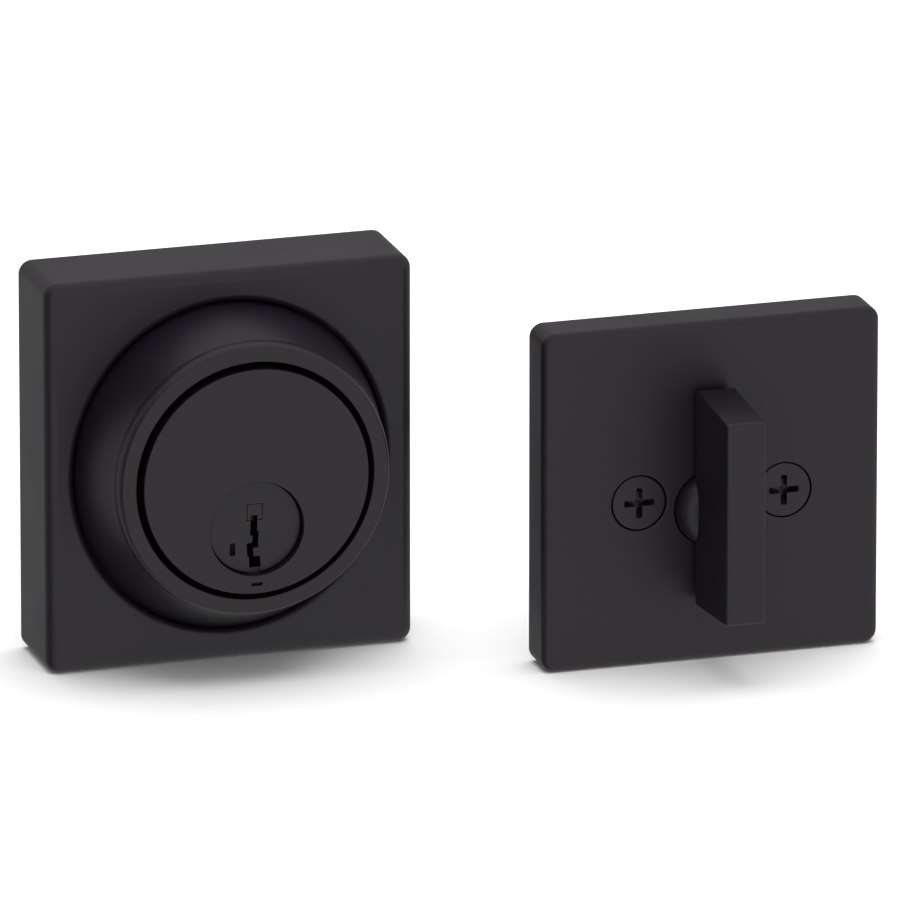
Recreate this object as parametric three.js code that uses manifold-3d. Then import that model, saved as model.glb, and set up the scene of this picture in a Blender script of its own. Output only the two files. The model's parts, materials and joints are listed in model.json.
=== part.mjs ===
// Deadbolt door lock: the keyed exterior half and the thumbturn interior half, side by side.
// Millimetres. +X right, +Y into the door, +Z up. Both halves stand on z = 0.
import * as THREE from "three";
import { mergeVertices } from "three/addons/utils/BufferGeometryUtils.js";
import Module from "manifold-3d";

const wasm = await Module();
wasm.setup();

// ---------------------------------------------------------------- driving dimensions

const running = 0.05; // radial clearance of a turning or sliding fit
const seat = 0.1; // gap between pieces that bear on each other
const loose = 0.3; // gap between pieces that only pass each other
const sides = { large: 48, medium: 32, small: 20, tiny: 12 }; // facets round a piece, by its size

// The two halves stand apart, the interior one to the right and nearer the front.
const halves = { gap: 15.25, stagger: 23.1 };

// Exterior rose, a hollow casting: its borders beside, over and under the recess, and how far its middle
// is below the cylinder's. The recess is a little taller than it is wide.
const rose = { side: 3.5, end: 3.95, below: 1.8, depth: 16.6, corner: 2.3, edge: 2.0, wall: 2.4, face: 3.4 };
const recess = { depth: 2.0, lip: 1.3, tall: 1.5 };

// Cylinder housing and the guard collar round it. The plug's bore is near the housing's foot.
const cylinder = { radius: 19.17, under: 3.02, front: 15.2, edge: 0.15 };
const pockets = { radius: 3.8, wall: 3.2, face: 8.0, apart: 50 };
const collar = { gap: 1.05, tube: 1.6, rim: 1.48, back: 8.4, setback: 0.6 };
const flare = { sweep: 3.0, front: 11.8, back: 0.7 };
const ring = { crown: 0.9, edge: 2.4, soft: 0.25 };
const snapRing = { groove: 0.6, width: 0.9, reach: 2.6, opening: 14 };

// Plug, its bore and its keyway.
const plug = { radius: 8.0, recess: 1.4, chamfer: 0.25, groove: 1.15, tailFlange: 0.7 };
const clip = { thickness: 0.8, proud: 1.05, room: 0.2, opening: 60 };
const keywayLegs = [
  { left: -0.7, right: 0.5, top: 2.0, bottom: -1.6 },
  { left: -0.2, right: 0.8, top: -0.8, bottom: -3.8 },
  { left: -1.2, right: -0.1, top: -2.9, bottom: -5.2 },
  { left: -0.95, right: 1.0, top: -5.1 },
];
const keyway = { web: 0.95, depth: 21.5, groove: 0.3 };
const dimple = { radius: 2.9, depth: 0.8, x: 0.05, above: -3.0 };
const toolHole = { width: 1.0, height: 2.2, x: -3.8, z: -3.6 };
const faceInsert = { width: 2.5, height: 2.65, depth: 3.5, bottom: 1.2, x: 0.05 };
const indexSlot = { width: 2.0, height: 0.6, depth: 1.0, below: 1.4 };

// Tumblers: five pins over the keyway, each hooked to a rack beside them.
const tumblers = { count: 5, pitch: 3.7, first: 5.6, travel: 2.2 };
const pin = { radius: 1.25, tip: 0.4, taper: 0.9, bottom: -1.2, top: 3.0 };
const pinWaist = { radius: 0.8, bottom: 1.7, top: 2.6 };
const pinSpring = { radius: 0.95, wire: 0.16, coils: 4 };
const rack = { thickness: 2.2, beside: 1.35, bottom: -3.6, top: 3.4 };
const notch = { count: 5, pitch: 1.15, depth: 0.45 };
const carriage = { cheek: 0.3, bottom: -6.1, top: 6.0, end: 1.5 };
const sidebar = { height: 2.2, thickness: 1.7, stand: 1.02, travel: 0.45, clear: 0.35 };
const sidebarSpring = { radius: 0.62, wire: 0.14, coils: 3, length: 1.7 };
const springCover = { width: 3.0, thickness: 0.85, margin: 0.6 };

// Tail: drive lugs with a quarter turn of lost motion, and the half-round torque blade.
const drive = { lugInner: 2.6, lugSetIn: 1.35, lugAngle: 44, lugLength: 1.6, disc: 1.6 };
const blade = { radius: 3.1, flat: 0.3, tip: 73.6, point: 1.5 };

// Backing plate, posts and screws.
const backing = { thickness: 1.6, inset: 0.4, corner: 2.0, room: 1.3 };
const thread = { radius: 2.4, core: 1.95 };
const posts = { apart: 25.0, above: 1.9, wall: 0.95, seatDepth: 11.0, back: 31.0, soft: 0.5 };
posts.boreDepth = 18.0;
const postFlange = { proud: 1.5, length: 1.5 };
const guardPin = { radius: 1.0, length: 15.0, beside: 2.55, behind: 4.2, sunk: 0.8 };

// Interior cover, stiffener and thumbturn. Heights are counted from the thumbturn's axis.
const cover = { width: 58.1, height: 58.1, depth: 8.05, corner: 2.3, edge: 1.4, wall: 2.2, face: 2.4 };
cover.centre = 2.9;
const stiffener = { thickness: 1.8, margin: 0.5, corner: 1.5 };
const turn = { thickness: 6.7, gap: 1.6, depth: 16.9, backTop: 21.1, backBottom: -16.0, frontTop: 19.8 };
turn.frontBottom = -14.7;
turn.edge = 0.4;
turn.corner = 0.7;
const hub = { wall: 1.75, shoulder: 1.3, rim: 0.6, dome: 1.8, crown: 3.0, back: 13.0, slotDepth: 12.0 };
const hubClip = { thickness: 0.8, groove: 0.9, proud: 2.4, opening: 70 };
const washer = { inside: 0.4, outside: 0.8, thickness: 0.3, wave: 0.25, waves: 3 };
const screw = { flange: 2.2, headGap: 0.15, rim: 0.5, cone: 2.3, length: 50.8, point: 1.0 };
const phillips = { span: 5.2, arm: 1.1, depth: 2.2, core: 1.9, taper: 0.55 };

// ---------------------------------------------------------------- derived places

const bore = plug.radius + running;
const cylinderZ = cylinder.radius - bore - cylinder.under;
const plugFront = -cylinder.front + plug.recess;
const collarBore = cylinder.radius + collar.gap;
const collarTube = collarBore + collar.tube;
const collarWaist = collarTube + collar.rim;
const ringFront = -cylinder.front + collar.setback;
const recessRadius = collarWaist + flare.sweep + loose;
const recessEdge = recessRadius + recess.lip;
const flangeEdge = recessRadius - loose;
rose.width = 2 * (recessEdge + rose.side);
rose.height = 2 * (recessEdge + recess.tall + rose.end);
rose.centre = cylinderZ - rose.below;
const backingFront = rose.depth - backing.inset - backing.thickness;
const housingBack = backingFront - loose;
const discBack = backingFront - loose;
const discFront = discBack - drive.disc;
const plugTail = discFront - drive.lugLength - seat;
const clipBack = plugTail - plug.tailFlange;
const clipFront = clipBack - clip.thickness;
const counterboreFloor = clipFront - seat / 2;
const clipRadius = plug.radius + clip.proud;
const plugNeck = plug.radius - plug.groove;
const lugOuter = plug.radius - drive.lugSetIn;
const tumblerY = (index) => plugFront + tumblers.first + index * tumblers.pitch;
keywayLegs[keywayLegs.length - 1].bottom = keyway.web - plug.radius;
const pinX = (keywayLegs[0].left + keywayLegs[0].right) / 2;
// The sidebar's inner face when it is drawn in to its unlocked place.
const sidebarInner = sidebar.thickness - Math.sqrt((plug.radius - running) ** 2 - (sidebar.height / 2) ** 2);
const rackOuter = sidebarInner + sidebar.stand;
const rackInner = pinX - pin.radius - rack.beside;
const carriageOuter = rackOuter - carriage.cheek;
const carriageInner = rackInner + carriage.cheek;
const carriageFront = tumblerY(0) - rack.thickness / 2 - carriage.end;
const carriageBack = tumblerY(tumblers.count - 1) + rack.thickness / 2 + carriage.end;
const sidebarSpringPlaces = [carriageFront + carriage.end / 2, carriageBack - carriage.end / 2];
const stiffenerFront = cover.face + seat / 2;
const stiffenerBack = stiffenerFront + stiffener.thickness;
const washerFront = stiffenerBack + seat;
const hubClipFront = washerFront + washer.thickness + 2 * washer.wave + seat;
const postRadius = thread.core + posts.wall;
const postHole = postRadius + running;
const guardPinX = bore + guardPin.radius + guardPin.beside;
const spindle = blade.radius + loose / 2 + hub.wall;
const hubRadius = spindle + hub.shoulder;
const hubNeck = spindle - hubClip.groove;
const hubClipRadius = spindle + hubClip.proud;
const screwHead = thread.radius + screw.flange;

// ---------------------------------------------------------------- solids

// A closed geometry as a solid that can be joined and cut.
function solid(geometry) {
  const bare = geometry.clone();
  bare.deleteAttribute("normal");
  bare.deleteAttribute("uv");
  const merged = mergeVertices(bare, 1e-4);
  return new wasm.Manifold(
    new wasm.Mesh({
      numProp: 3,
      vertProperties: merged.attributes.position.array,
      triVerts: new Uint32Array(merged.index.array),
    }),
  );
}

// A finished solid as a named mesh with its own material.
function piece(name, body, finish) {
  const mesh = body.getMesh();
  const geometry = new THREE.BufferGeometry();
  geometry.setAttribute("position", new THREE.BufferAttribute(mesh.vertProperties, 3));
  geometry.setIndex(new THREE.BufferAttribute(mesh.triVerts, 1));
  geometry.computeVertexNormals();
  const made = new THREE.Mesh(geometry, new THREE.MeshStandardMaterial(finish));
  made.name = name;
  return made;
}

// A round bar along Y.
function rod(radius, front, back, x = 0, z = 0, facets = sides.medium) {
  const bar = new THREE.CylinderGeometry(radius, radius, back - front, facets);
  return solid(bar.translate(x, (front + back) / 2, z));
}

// A round bar along X or Z.
function crossRod(radius, from, to, y, across, axis) {
  const bar = new THREE.CylinderGeometry(radius, radius, to - from, sides.tiny);
  if (axis === "z") {
    return solid(bar.rotateX(Math.PI / 2).translate(across, y, (from + to) / 2));
  }
  return solid(bar.rotateZ(Math.PI / 2).translate((from + to) / 2, y, across));
}

// A cone along Y, with one radius at its front end and one at its back end.
function cone(frontRadius, backRadius, front, back, x = 0, z = 0, facets = sides.medium) {
  const body = new THREE.CylinderGeometry(backRadius, frontRadius, back - front, facets);
  return solid(body.translate(x, (front + back) / 2, z));
}

function block(x0, x1, y0, y1, z0, z1) {
  const box = new THREE.BoxGeometry(x1 - x0, y1 - y0, z1 - z0);
  return solid(box.translate((x0 + x1) / 2, (y0 + y1) / 2, (z0 + z1) / 2));
}

// An outline in X and Z, given thickness along Y.
function slab(outline, front, back, curveSegments = 6) {
  const raised = new THREE.ExtrudeGeometry(outline, {
    depth: back - front,
    bevelEnabled: false,
    curveSegments,
  });
  return solid(raised.rotateX(Math.PI / 2).translate(0, back, 0));
}

// A closed profile of [radius, y] pairs, swept round the Y axis.
function swept(profile, facets) {
  const points = profile.map(([radius, y]) => new THREE.Vector2(radius, y));
  if (THREE.ShapeUtils.isClockWise(points)) {
    points.reverse();
  }
  points.push(points[0].clone());
  return new THREE.LatheGeometry(points, facets);
}

function turned(profile, facets, x = 0, z = 0) {
  return solid(swept(profile, facets).translate(x, 0, z));
}

// The collar is round at its waist. Its foot, and the recess that the foot sits in, are oval and share
// the rose's middle, so a point outside the waist is moved by its share of the way there.
function towardsFoot(geometry) {
  const points = geometry.getAttribute("position");
  for (let index = 0; index < points.count; index += 1) {
    const z = points.getZ(index);
    const radius = Math.max(collarWaist, Math.hypot(points.getX(index), z));
    const share = Math.min(1, (radius - collarWaist) / (flangeEdge - collarWaist));
    points.setZ(index, z * (1 + (share * recess.tall) / radius) - share * rose.below);
  }
  return solid(geometry.translate(0, 0, cylinderZ));
}

// Points of an elliptical arc in the [radius, y] plane.
function arc(centreRadius, centreY, spanRadius, spanY, fromDegrees, toDegrees, steps) {
  return Array.from({ length: steps + 1 }, (_, step) => {
    const angle = THREE.MathUtils.degToRad(fromDegrees + ((toDegrees - fromDegrees) * step) / steps);
    return [centreRadius + spanRadius * Math.cos(angle), centreY + spanY * Math.sin(angle)];
  });
}

function roundedRectangle(width, height, corner, x = 0, z = 0) {
  const right = x + width / 2 - corner;
  const left = x - width / 2 + corner;
  const top = z + height / 2 - corner;
  const bottom = z - height / 2 + corner;
  const outline = new THREE.Shape();
  outline.absarc(right, bottom, corner, -Math.PI / 2, 0, false);
  outline.absarc(right, top, corner, 0, Math.PI / 2, false);
  outline.absarc(left, top, corner, Math.PI / 2, Math.PI, false);
  outline.absarc(left, bottom, corner, Math.PI, 1.5 * Math.PI, false);
  outline.closePath();
  return outline;
}

// A ring sector, from one angle to another, anticlockwise seen along -Y.
function sector(inner, outer, fromDegrees, toDegrees) {
  const from = THREE.MathUtils.degToRad(fromDegrees);
  const to = THREE.MathUtils.degToRad(toDegrees);
  const outline = new THREE.Shape();
  outline.absarc(0, 0, outer, from, to, false);
  outline.absarc(0, 0, inner, to, from, true);
  outline.closePath();
  return outline;
}

// A round section cut flat a little above its middle.
function halfRound(radius, flat) {
  const rise = Math.asin(flat / radius);
  const outline = new THREE.Shape();
  outline.absarc(0, 0, radius, Math.PI - rise, 2 * Math.PI + rise, false);
  outline.closePath();
  return outline;
}

// A box cover with rounded front edges, open at the back, its front face on y = 0.
function castCover(size) {
  const skin = new THREE.ExtrudeGeometry(roundedRectangle(size.width, size.height, size.corner), {
    depth: size.depth,
    bevelThickness: size.edge,
    bevelSize: size.edge,
    bevelOffset: -size.edge,
    bevelSegments: 3,
    curveSegments: 2,
  });
  const reach = size.width + size.height;
  const hollow = roundedRectangle(size.width - 2 * size.wall, size.height - 2 * size.wall, size.corner);
  return solid(skin.rotateX(Math.PI / 2).translate(0, size.depth + size.edge, 0))
    .subtract(block(-reach, reach, size.depth, 3 * size.depth, -reach, reach))
    .subtract(slab(hollow, size.face, size.depth + 1, 2))
    .translate(0, 0, size.centre);
}

class Helix extends THREE.Curve {
  constructor(radius, length, turns) {
    super();
    this.radius = radius;
    this.length = length;
    this.turns = turns;
  }

  getPoint(share, target = new THREE.Vector3()) {
    const angle = 2 * Math.PI * this.turns * share;
    return target.set(this.radius * Math.cos(angle), this.radius * Math.sin(angle), this.length * share);
  }
}

// A coil spring that stands on z = 0 and rises along Z.
function coil(spring, length) {
  const wire = new THREE.Shape();
  wire.absarc(0, 0, spring.wire, 0, 2 * Math.PI, false);
  const path = new Helix(spring.radius - spring.wire, length - 2 * spring.wire, spring.coils);
  const steps = spring.coils * 9;
  const body = new THREE.ExtrudeGeometry(wire, { steps, extrudePath: path, curveSegments: 2 });
  return solid(body.translate(0, 0, spring.wire));
}

// ---------------------------------------------------------------- finishes

const satinBlack = { color: 0x26252a, roughness: 0.42, metalness: 0.35 };
const steel = { color: 0x9a9b9d, roughness: 0.35, metalness: 1.0 };
const zinc = { color: 0x8e9093, roughness: 0.55, metalness: 0.9 };
const brass = { color: 0xb9954b, roughness: 0.35, metalness: 1.0 };
const springSteel = { color: 0xb7b8ba, roughness: 0.3, metalness: 1.0 };
const blackScrew = { color: 0x232226, roughness: 0.4, metalness: 0.5 };

// ---------------------------------------------------------------- exterior half

function makeRose() {
  const opening = swept(
    [
      [0, rose.face + 1],
      [0, -1],
      [recessEdge, -1],
      ...arc(recessEdge, recess.lip, recess.lip, recess.lip, 270, 180, 3),
      [recessRadius, recess.depth],
      [collarTube + loose, recess.depth],
      [collarTube + loose, rose.face + 1],
    ],
    sides.large,
  );
  return castCover(rose).subtract(towardsFoot(opening));
}

function makeCollar() {
  const softCentre = [collarBore + ring.soft, ringFront + ring.soft];
  const flangeBack = recess.depth - loose;
  const groove = collarTube - snapRing.groove;
  const grooveFront = rose.face + seat;
  const body = swept(
    [
      [collarBore, collar.back],
      ...arc(...softCentre, ring.soft, ring.soft, 180, 270, 2),
      ...arc(collarWaist - ring.crown, ringFront + ring.edge, ring.crown, ring.edge, 270, 360, 3),
      [collarWaist, -flare.front],
      [flangeEdge, flare.back],
      [flangeEdge, flangeBack],
      [collarTube, flangeBack],
      [collarTube, grooveFront],
      [groove, grooveFront],
      [groove, grooveFront + snapRing.width + seat],
      [collarTube, grooveFront + snapRing.width + seat],
      [collarTube, collar.back],
    ],
    sides.large,
  );
  return towardsFoot(body);
}

function makeSnapRing() {
  const inner = collarTube - snapRing.groove + loose;
  const front = rose.face + seat + seat / 2;
  const half = snapRing.opening / 2;
  const outline = sector(inner, inner + snapRing.reach, -90 + half, 270 - half);
  return slab(outline, front, front + snapRing.width, 14).translate(0, 0, cylinderZ);
}

// A cylinder casting, bored for the plug, the posts, the sidebar and the drill guard pins.
function makeHousing() {
  const soft = cylinder.edge;
  let body = turned(
    [
      [0, housingBack],
      [0, -cylinder.front],
      ...arc(cylinder.radius - soft, -cylinder.front + soft, soft, soft, 270, 360, 2),
      [cylinder.radius, housingBack],
    ],
    sides.large,
    0,
    cylinderZ,
  );
  const past = 0.5;
  const mouth = [bore + plug.chamfer + past, bore, -cylinder.front - past, -cylinder.front + plug.chamfer];
  body = body
    .subtract(rod(bore, -cylinder.front - 1, housingBack + 1, 0, 0, sides.large))
    .subtract(cone(...mouth, 0, 0, sides.large))
    .subtract(rod(clipRadius + clip.room, counterboreFloor, housingBack + 1));
  // The sidebar drops into a groove beside the plug at rest, and a quarter turn either way.
  const deep = bore + sidebar.travel;
  const half = sidebar.height / 2 + sidebar.clear;
  const front = carriageFront - loose;
  const back = carriageBack + loose;
  body = body
    .subtract(block(-deep, 0, front, back, -half, half))
    .subtract(block(-half, half, front, back, -deep, deep));
  for (const side of [-1, 1]) {
    const postX = (side * posts.apart) / 2;
    const postFloor = housingBack - posts.seatDepth - seat;
    body = body
      .subtract(rod(postHole, postFloor, housingBack + 1, postX, posts.above, sides.small))
      .subtract(guardPinSolid(side, running));
  }
  // Three blind pockets lighten the casting behind the blank part of its face.
  for (const degrees of [90 - pockets.apart, 90, 90 + pockets.apart]) {
    const angle = THREE.MathUtils.degToRad(degrees);
    const out = cylinder.radius - pockets.radius - pockets.wall;
    const x = out * Math.cos(angle);
    const z = cylinderZ + out * Math.sin(angle);
    const floor = -cylinder.front + pockets.face;
    body = body.subtract(rod(pockets.radius, floor, housingBack + 1, x, z, sides.tiny));
  }
  const slotZ = -bore - indexSlot.below;
  return body.subtract(
    block(
      -indexSlot.width / 2,
      indexSlot.width / 2,
      -cylinder.front - 1,
      -cylinder.front + indexSlot.depth,
      slotZ - indexSlot.height / 2,
      slotZ + indexSlot.height / 2,
    ),
  );
}

// A hardened pin dropped into the housing beside the plug, where a drill would enter.
// A positive clearance gives its hole, which is open at the top.
function guardPinSolid(side, clearance) {
  const y = -cylinder.front + guardPin.behind;
  const mouth = cylinderZ + Math.sqrt(cylinder.radius ** 2 - guardPinX ** 2);
  const top = mouth - guardPin.sunk;
  const reach = clearance > 0 ? mouth + 2 : top;
  const bottom = top - guardPin.length - clearance;
  return crossRod(guardPin.radius + clearance, bottom, reach, y, side * guardPinX, "z");
}

// The keyway as one cutter, from a given front to a given back.
function keywayCutter(front, back) {
  return keywayLegs
    .map((leg) => block(leg.left, leg.right, front, back, leg.bottom, leg.top))
    .reduce((whole, leg) => whole.add(leg));
}

function makePlug() {
  const radius = plug.radius;
  const foot = keywayLegs[keywayLegs.length - 1];
  // The dimple is the point of a cone that starts half its depth in front of the face.
  const dimpleFront = plugFront - dimple.depth / 2;
  let body = turned(
    [
      [0, plugTail],
      [0, plugFront],
      [radius - plug.chamfer, plugFront],
      [radius, plugFront + plug.chamfer],
      [radius, clipFront - seat / 2],
      [plugNeck, clipFront - seat / 2],
      [plugNeck, clipBack + seat / 2],
      [radius, clipBack + seat / 2],
      [radius, plugTail],
    ],
    sides.large,
  );
  body = body
    .subtract(keywayCutter(plugFront - 1, plugFront + keyway.depth))
    .subtract(block(foot.left, foot.right, plugFront - 1, plugFront + keyway.groove, -radius, foot.bottom))
    .subtract(cone(dimple.radius * 1.5, 0.05, dimpleFront, plugFront + dimple.depth, dimple.x, dimple.above))
    .subtract(toolHoleCutter())
    .subtract(faceInsertBlock(seat / 2))
    .subtract(carriagePocket());
  for (let index = 0; index < tumblers.count; index += 1) {
    const floor = pin.bottom - seat;
    body = body.subtract(crossRod(pin.radius + running, floor, radius + 1, tumblerY(index), pinX, "z"));
  }
  body = body.subtract(springCoverBlock(seat / 2));
  for (const start of [90 - drive.lugAngle / 2, 270 - drive.lugAngle / 2]) {
    const lug = sector(drive.lugInner, lugOuter, start, start + drive.lugAngle);
    body = body.add(slab(lug, plugTail - 0.5, plugTail + drive.lugLength, 3));
  }
  return body;
}

function toolHoleCutter() {
  const { width, height, x, z } = toolHole;
  return slab(roundedRectangle(width, height, width * 0.3, x, z), plugFront - 1, carriageFront + 0.5, 3);
}

// The hardened square in the plug's face. A positive clearance gives its pocket.
function faceInsertBlock(clearance) {
  const half = faceInsert.width / 2 + clearance;
  const front = clearance > 0 ? plugFront - 1 : plugFront + 0.02;
  return block(
    faceInsert.x - half,
    faceInsert.x + half,
    front,
    plugFront + faceInsert.depth + clearance,
    faceInsert.bottom - clearance,
    faceInsert.bottom + faceInsert.height + clearance,
  );
}

function makeFaceInsert() {
  return faceInsertBlock(0).subtract(keywayCutter(plugFront - 1, plugFront + keyway.depth));
}

// The pocket in the plug's side: carriage, sidebar, and a window for the racks' hooks.
function carriagePocket() {
  const gap = seat / 2;
  const wide = block(
    -plug.radius - 1,
    carriageInner + gap,
    carriageFront - gap,
    carriageBack + gap,
    carriage.bottom - gap,
    carriage.top + gap,
  );
  const window = block(
    carriageInner - 1,
    pinX,
    tumblerY(0) - rack.thickness / 2 - gap,
    tumblerY(tumblers.count - 1) + rack.thickness / 2 + gap,
    pinWaist.bottom - gap,
    pinWaist.top + tumblers.travel + gap,
  );
  return wide.add(window);
}

// The strip over the pin bores, curved with the plug.
function springCoverBlock(clearance) {
  const half = springCover.width / 2 + clearance;
  const overlap = pin.radius + springCover.margin + clearance;
  const from = tumblerY(0) - overlap;
  const to = tumblerY(tumblers.count - 1) + overlap;
  const floor = plug.radius - springCover.thickness - clearance;
  return block(pinX - half, pinX + half, from, to, floor, plug.radius + 1);
}

function makeSpringCover() {
  const ends = [carriageFront, carriageBack];
  return springCoverBlock(0).intersect(rod(plug.radius, ...ends, 0, 0, sides.large));
}

function makePlugClip() {
  const half = clip.opening / 2;
  const ring = sector(plugNeck + seat, clipRadius, -90 + half, 270 - half);
  return slab(ring, clipFront, clipBack, 10);
}

function makeKeyPin() {
  return solid(
    new THREE.LatheGeometry(
      [
        [0, pin.bottom],
        [pin.tip, pin.bottom],
        [pin.radius, pin.bottom + pin.taper],
        [pin.radius, pinWaist.bottom],
        [pinWaist.radius, pinWaist.bottom],
        [pinWaist.radius, pinWaist.top],
        [pin.radius, pinWaist.top],
        [pin.radius, pin.top],
        [0, pin.top],
      ].map(([radius, height]) => new THREE.Vector2(radius, height)),
      sides.tiny,
    ).rotateX(Math.PI / 2),
  );
}

// A notched plate. Its hook reaches into the pin's waist, and the sidebar feels for its notches.
function makeRack() {
  const outline = new THREE.Shape();
  const hookBottom = pinWaist.bottom + seat;
  const hookTop = pinWaist.top - seat;
  outline.moveTo(rackOuter, rack.bottom);
  outline.lineTo(rackInner, rack.bottom);
  outline.lineTo(rackInner, hookBottom);
  outline.lineTo(pinX - pinWaist.radius - seat, hookBottom);
  outline.lineTo(pinX - pinWaist.radius - seat, hookTop);
  outline.lineTo(rackInner, hookTop);
  outline.lineTo(rackInner, rack.top);
  outline.lineTo(rackOuter, rack.top);
  for (let index = notch.count - 1; index >= 0; index -= 1) {
    const middle = (index - (notch.count - 1) / 2) * notch.pitch;
    outline.lineTo(rackOuter, middle + notch.depth);
    outline.lineTo(rackOuter + notch.depth, middle);
    outline.lineTo(rackOuter, middle - notch.depth);
  }
  outline.closePath();
  return slab(outline, -rack.thickness / 2, rack.thickness / 2);
}

function makeCarriage() {
  // The casting's long corners follow the plug's round side.
  let body = block(carriageOuter, carriageInner, carriageFront, carriageBack, carriage.bottom, carriage.top)
    .intersect(rod(plug.radius - running, carriageFront - 1, carriageBack + 1, 0, 0, sides.large));
  const half = rack.thickness / 2 + running;
  const slotBottom = rack.bottom - seat;
  const slotTop = rack.top + tumblers.travel + seat;
  for (let index = 0; index < tumblers.count; index += 1) {
    const y = tumblerY(index);
    const across = [carriageOuter - 1, carriageInner + 1];
    body = body.subtract(block(...across, y - half, y + half, slotBottom, slotTop));
  }
  const pocketFloor = sidebarInner + seat + sidebarSpring.length + seat / 2;
  for (const y of sidebarSpringPlaces) {
    body = body.subtract(crossRod(sidebarSpring.radius + seat, carriageOuter - 1, pocketFloor, y, 0, "x"));
  }
  return body;
}

function makeSidebar() {
  const inner = sidebarInner;
  const outer = inner - sidebar.thickness;
  const half = sidebar.height / 2;
  const outline = new THREE.Shape();
  outline.moveTo(inner, -half);
  outline.lineTo(inner, half);
  outline.lineTo(outer + 0.5, half);
  outline.lineTo(outer, half - 0.5);
  outline.lineTo(outer, -half + 0.5);
  outline.lineTo(outer + 0.5, -half);
  outline.closePath();
  return slab(outline, carriageFront + seat, carriageBack - seat);
}

function makeSidebarSpring(y) {
  const pocketEnd = sidebarInner + seat + sidebarSpring.length;
  return coil(sidebarSpring, sidebarSpring.length).rotate([0, -90, 0]).translate(pocketEnd, y, 0);
}

function makeTailDriver() {
  const half = drive.lugAngle / 2;
  let body = rod(lugOuter, discFront, discBack);
  for (const middle of [0, 180]) {
    const lug = sector(drive.lugInner, lugOuter, middle - half, middle + half);
    body = body.add(slab(lug, discFront - drive.lugLength, discFront + 0.4, 3));
  }
  const socket = halfRound(blade.radius + running, blade.flat + running);
  return body.subtract(slab(socket, discFront - drive.lugLength - 1, discBack + 1, 6));
}

function makeTorqueBlade() {
  const bar = slab(halfRound(blade.radius, blade.flat), discFront, blade.tip, 6);
  return bar.intersect(
    rod(blade.radius + 1, discFront - 1, blade.tip - blade.point)
      .add(cone(blade.radius + 0.05, blade.radius - 0.8, blade.tip - blade.point, blade.tip)),
  );
}

function makeBackingPlate() {
  const width = rose.width - 2 * rose.wall - 2 * loose;
  const height = rose.height - 2 * rose.wall - 2 * loose;
  const outline = roundedRectangle(width, height, backing.corner, 0, rose.centre);
  let plate = slab(outline, backingFront, backingFront + backing.thickness, 2)
    .subtract(rod(blade.radius + backing.room, backingFront - 1, rose.depth));
  for (const side of [-1, 1]) {
    const x = (side * posts.apart) / 2;
    plate = plate.subtract(rod(postHole, backingFront - 1, rose.depth, x, posts.above, sides.small));
  }
  return plate;
}

// A threaded post. Its flange clamps the backing plate to the cylinder housing.
function makePost() {
  const flangeFront = backingFront + backing.thickness + seat / 2;
  return turned(
    [
      [0, posts.back - posts.boreDepth],
      [0, housingBack - posts.seatDepth],
      [postRadius, housingBack - posts.seatDepth],
      [postRadius, flangeFront],
      [postRadius + postFlange.proud, flangeFront],
      [postRadius + postFlange.proud, flangeFront + postFlange.length],
      [postRadius, flangeFront + postFlange.length],
      [postRadius, posts.back - posts.soft],
      [postRadius - posts.soft, posts.back],
      [thread.core, posts.back],
      [thread.core, posts.back - posts.boreDepth],
    ],
    sides.small,
  );
}

// ---------------------------------------------------------------- interior half

const screwPlaces = [-1, 1].map((side) => ({ x: (side * posts.apart) / 2, z: posts.above }));

function makeCover() {
  let body = castCover(cover).subtract(rod(hubRadius + seat, -1, cover.face + 1));
  for (const place of screwPlaces) {
    body = body.subtract(screwHole(place));
  }
  return body;
}

// The countersunk hole that a mounting screw passes through, in the cover and the stiffener alike.
function screwHole(place) {
  const wide = screwHead + screw.headGap;
  const narrow = thread.radius + screw.headGap;
  const rim = screw.rim + screw.headGap;
  const profile = [
    [0, -1],
    [wide, -1],
    [wide, rim],
    [narrow, rim + screw.cone],
    [narrow, cover.depth],
    [0, cover.depth],
  ];
  return turned(profile, sides.small, place.x, place.z);
}

function makeStiffener() {
  const width = cover.width - 2 * cover.wall - 2 * stiffener.margin;
  const height = cover.height - 2 * cover.wall - 2 * stiffener.margin;
  const outline = roundedRectangle(width, height, stiffener.corner, 0, cover.centre);
  let plate = slab(outline, stiffenerFront, stiffenerBack, 2)
    .subtract(rod(spindle + running, stiffenerFront - 1, stiffenerBack + 1));
  for (const place of screwPlaces) {
    plate = plate.subtract(screwHole(place));
  }
  return plate;
}

// The blade's side view, a trapezium with softened corners, wide at the plate.
function bladeOutline() {
  const back = -turn.gap;
  const front = back - turn.depth;
  const corners = [
    [front, turn.frontBottom],
    [back, turn.backBottom],
    [back, turn.backTop],
    [front, turn.frontTop],
  ].map(([y, z]) => new THREE.Vector2(y, z));
  const outline = new THREE.Shape();
  corners.forEach((corner, index) => {
    const before = corners[(index + 3) % 4];
    const after = corners[(index + 1) % 4];
    const start = corner.clone().add(before.clone().sub(corner).setLength(turn.corner));
    const end = corner.clone().add(after.clone().sub(corner).setLength(turn.corner));
    if (index === 0) {
      outline.moveTo(start.x, start.y);
    } else {
      outline.lineTo(start.x, start.y);
    }
    outline.quadraticCurveTo(corner.x, corner.y, end.x, end.y);
  });
  outline.closePath();
  return outline;
}

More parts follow.
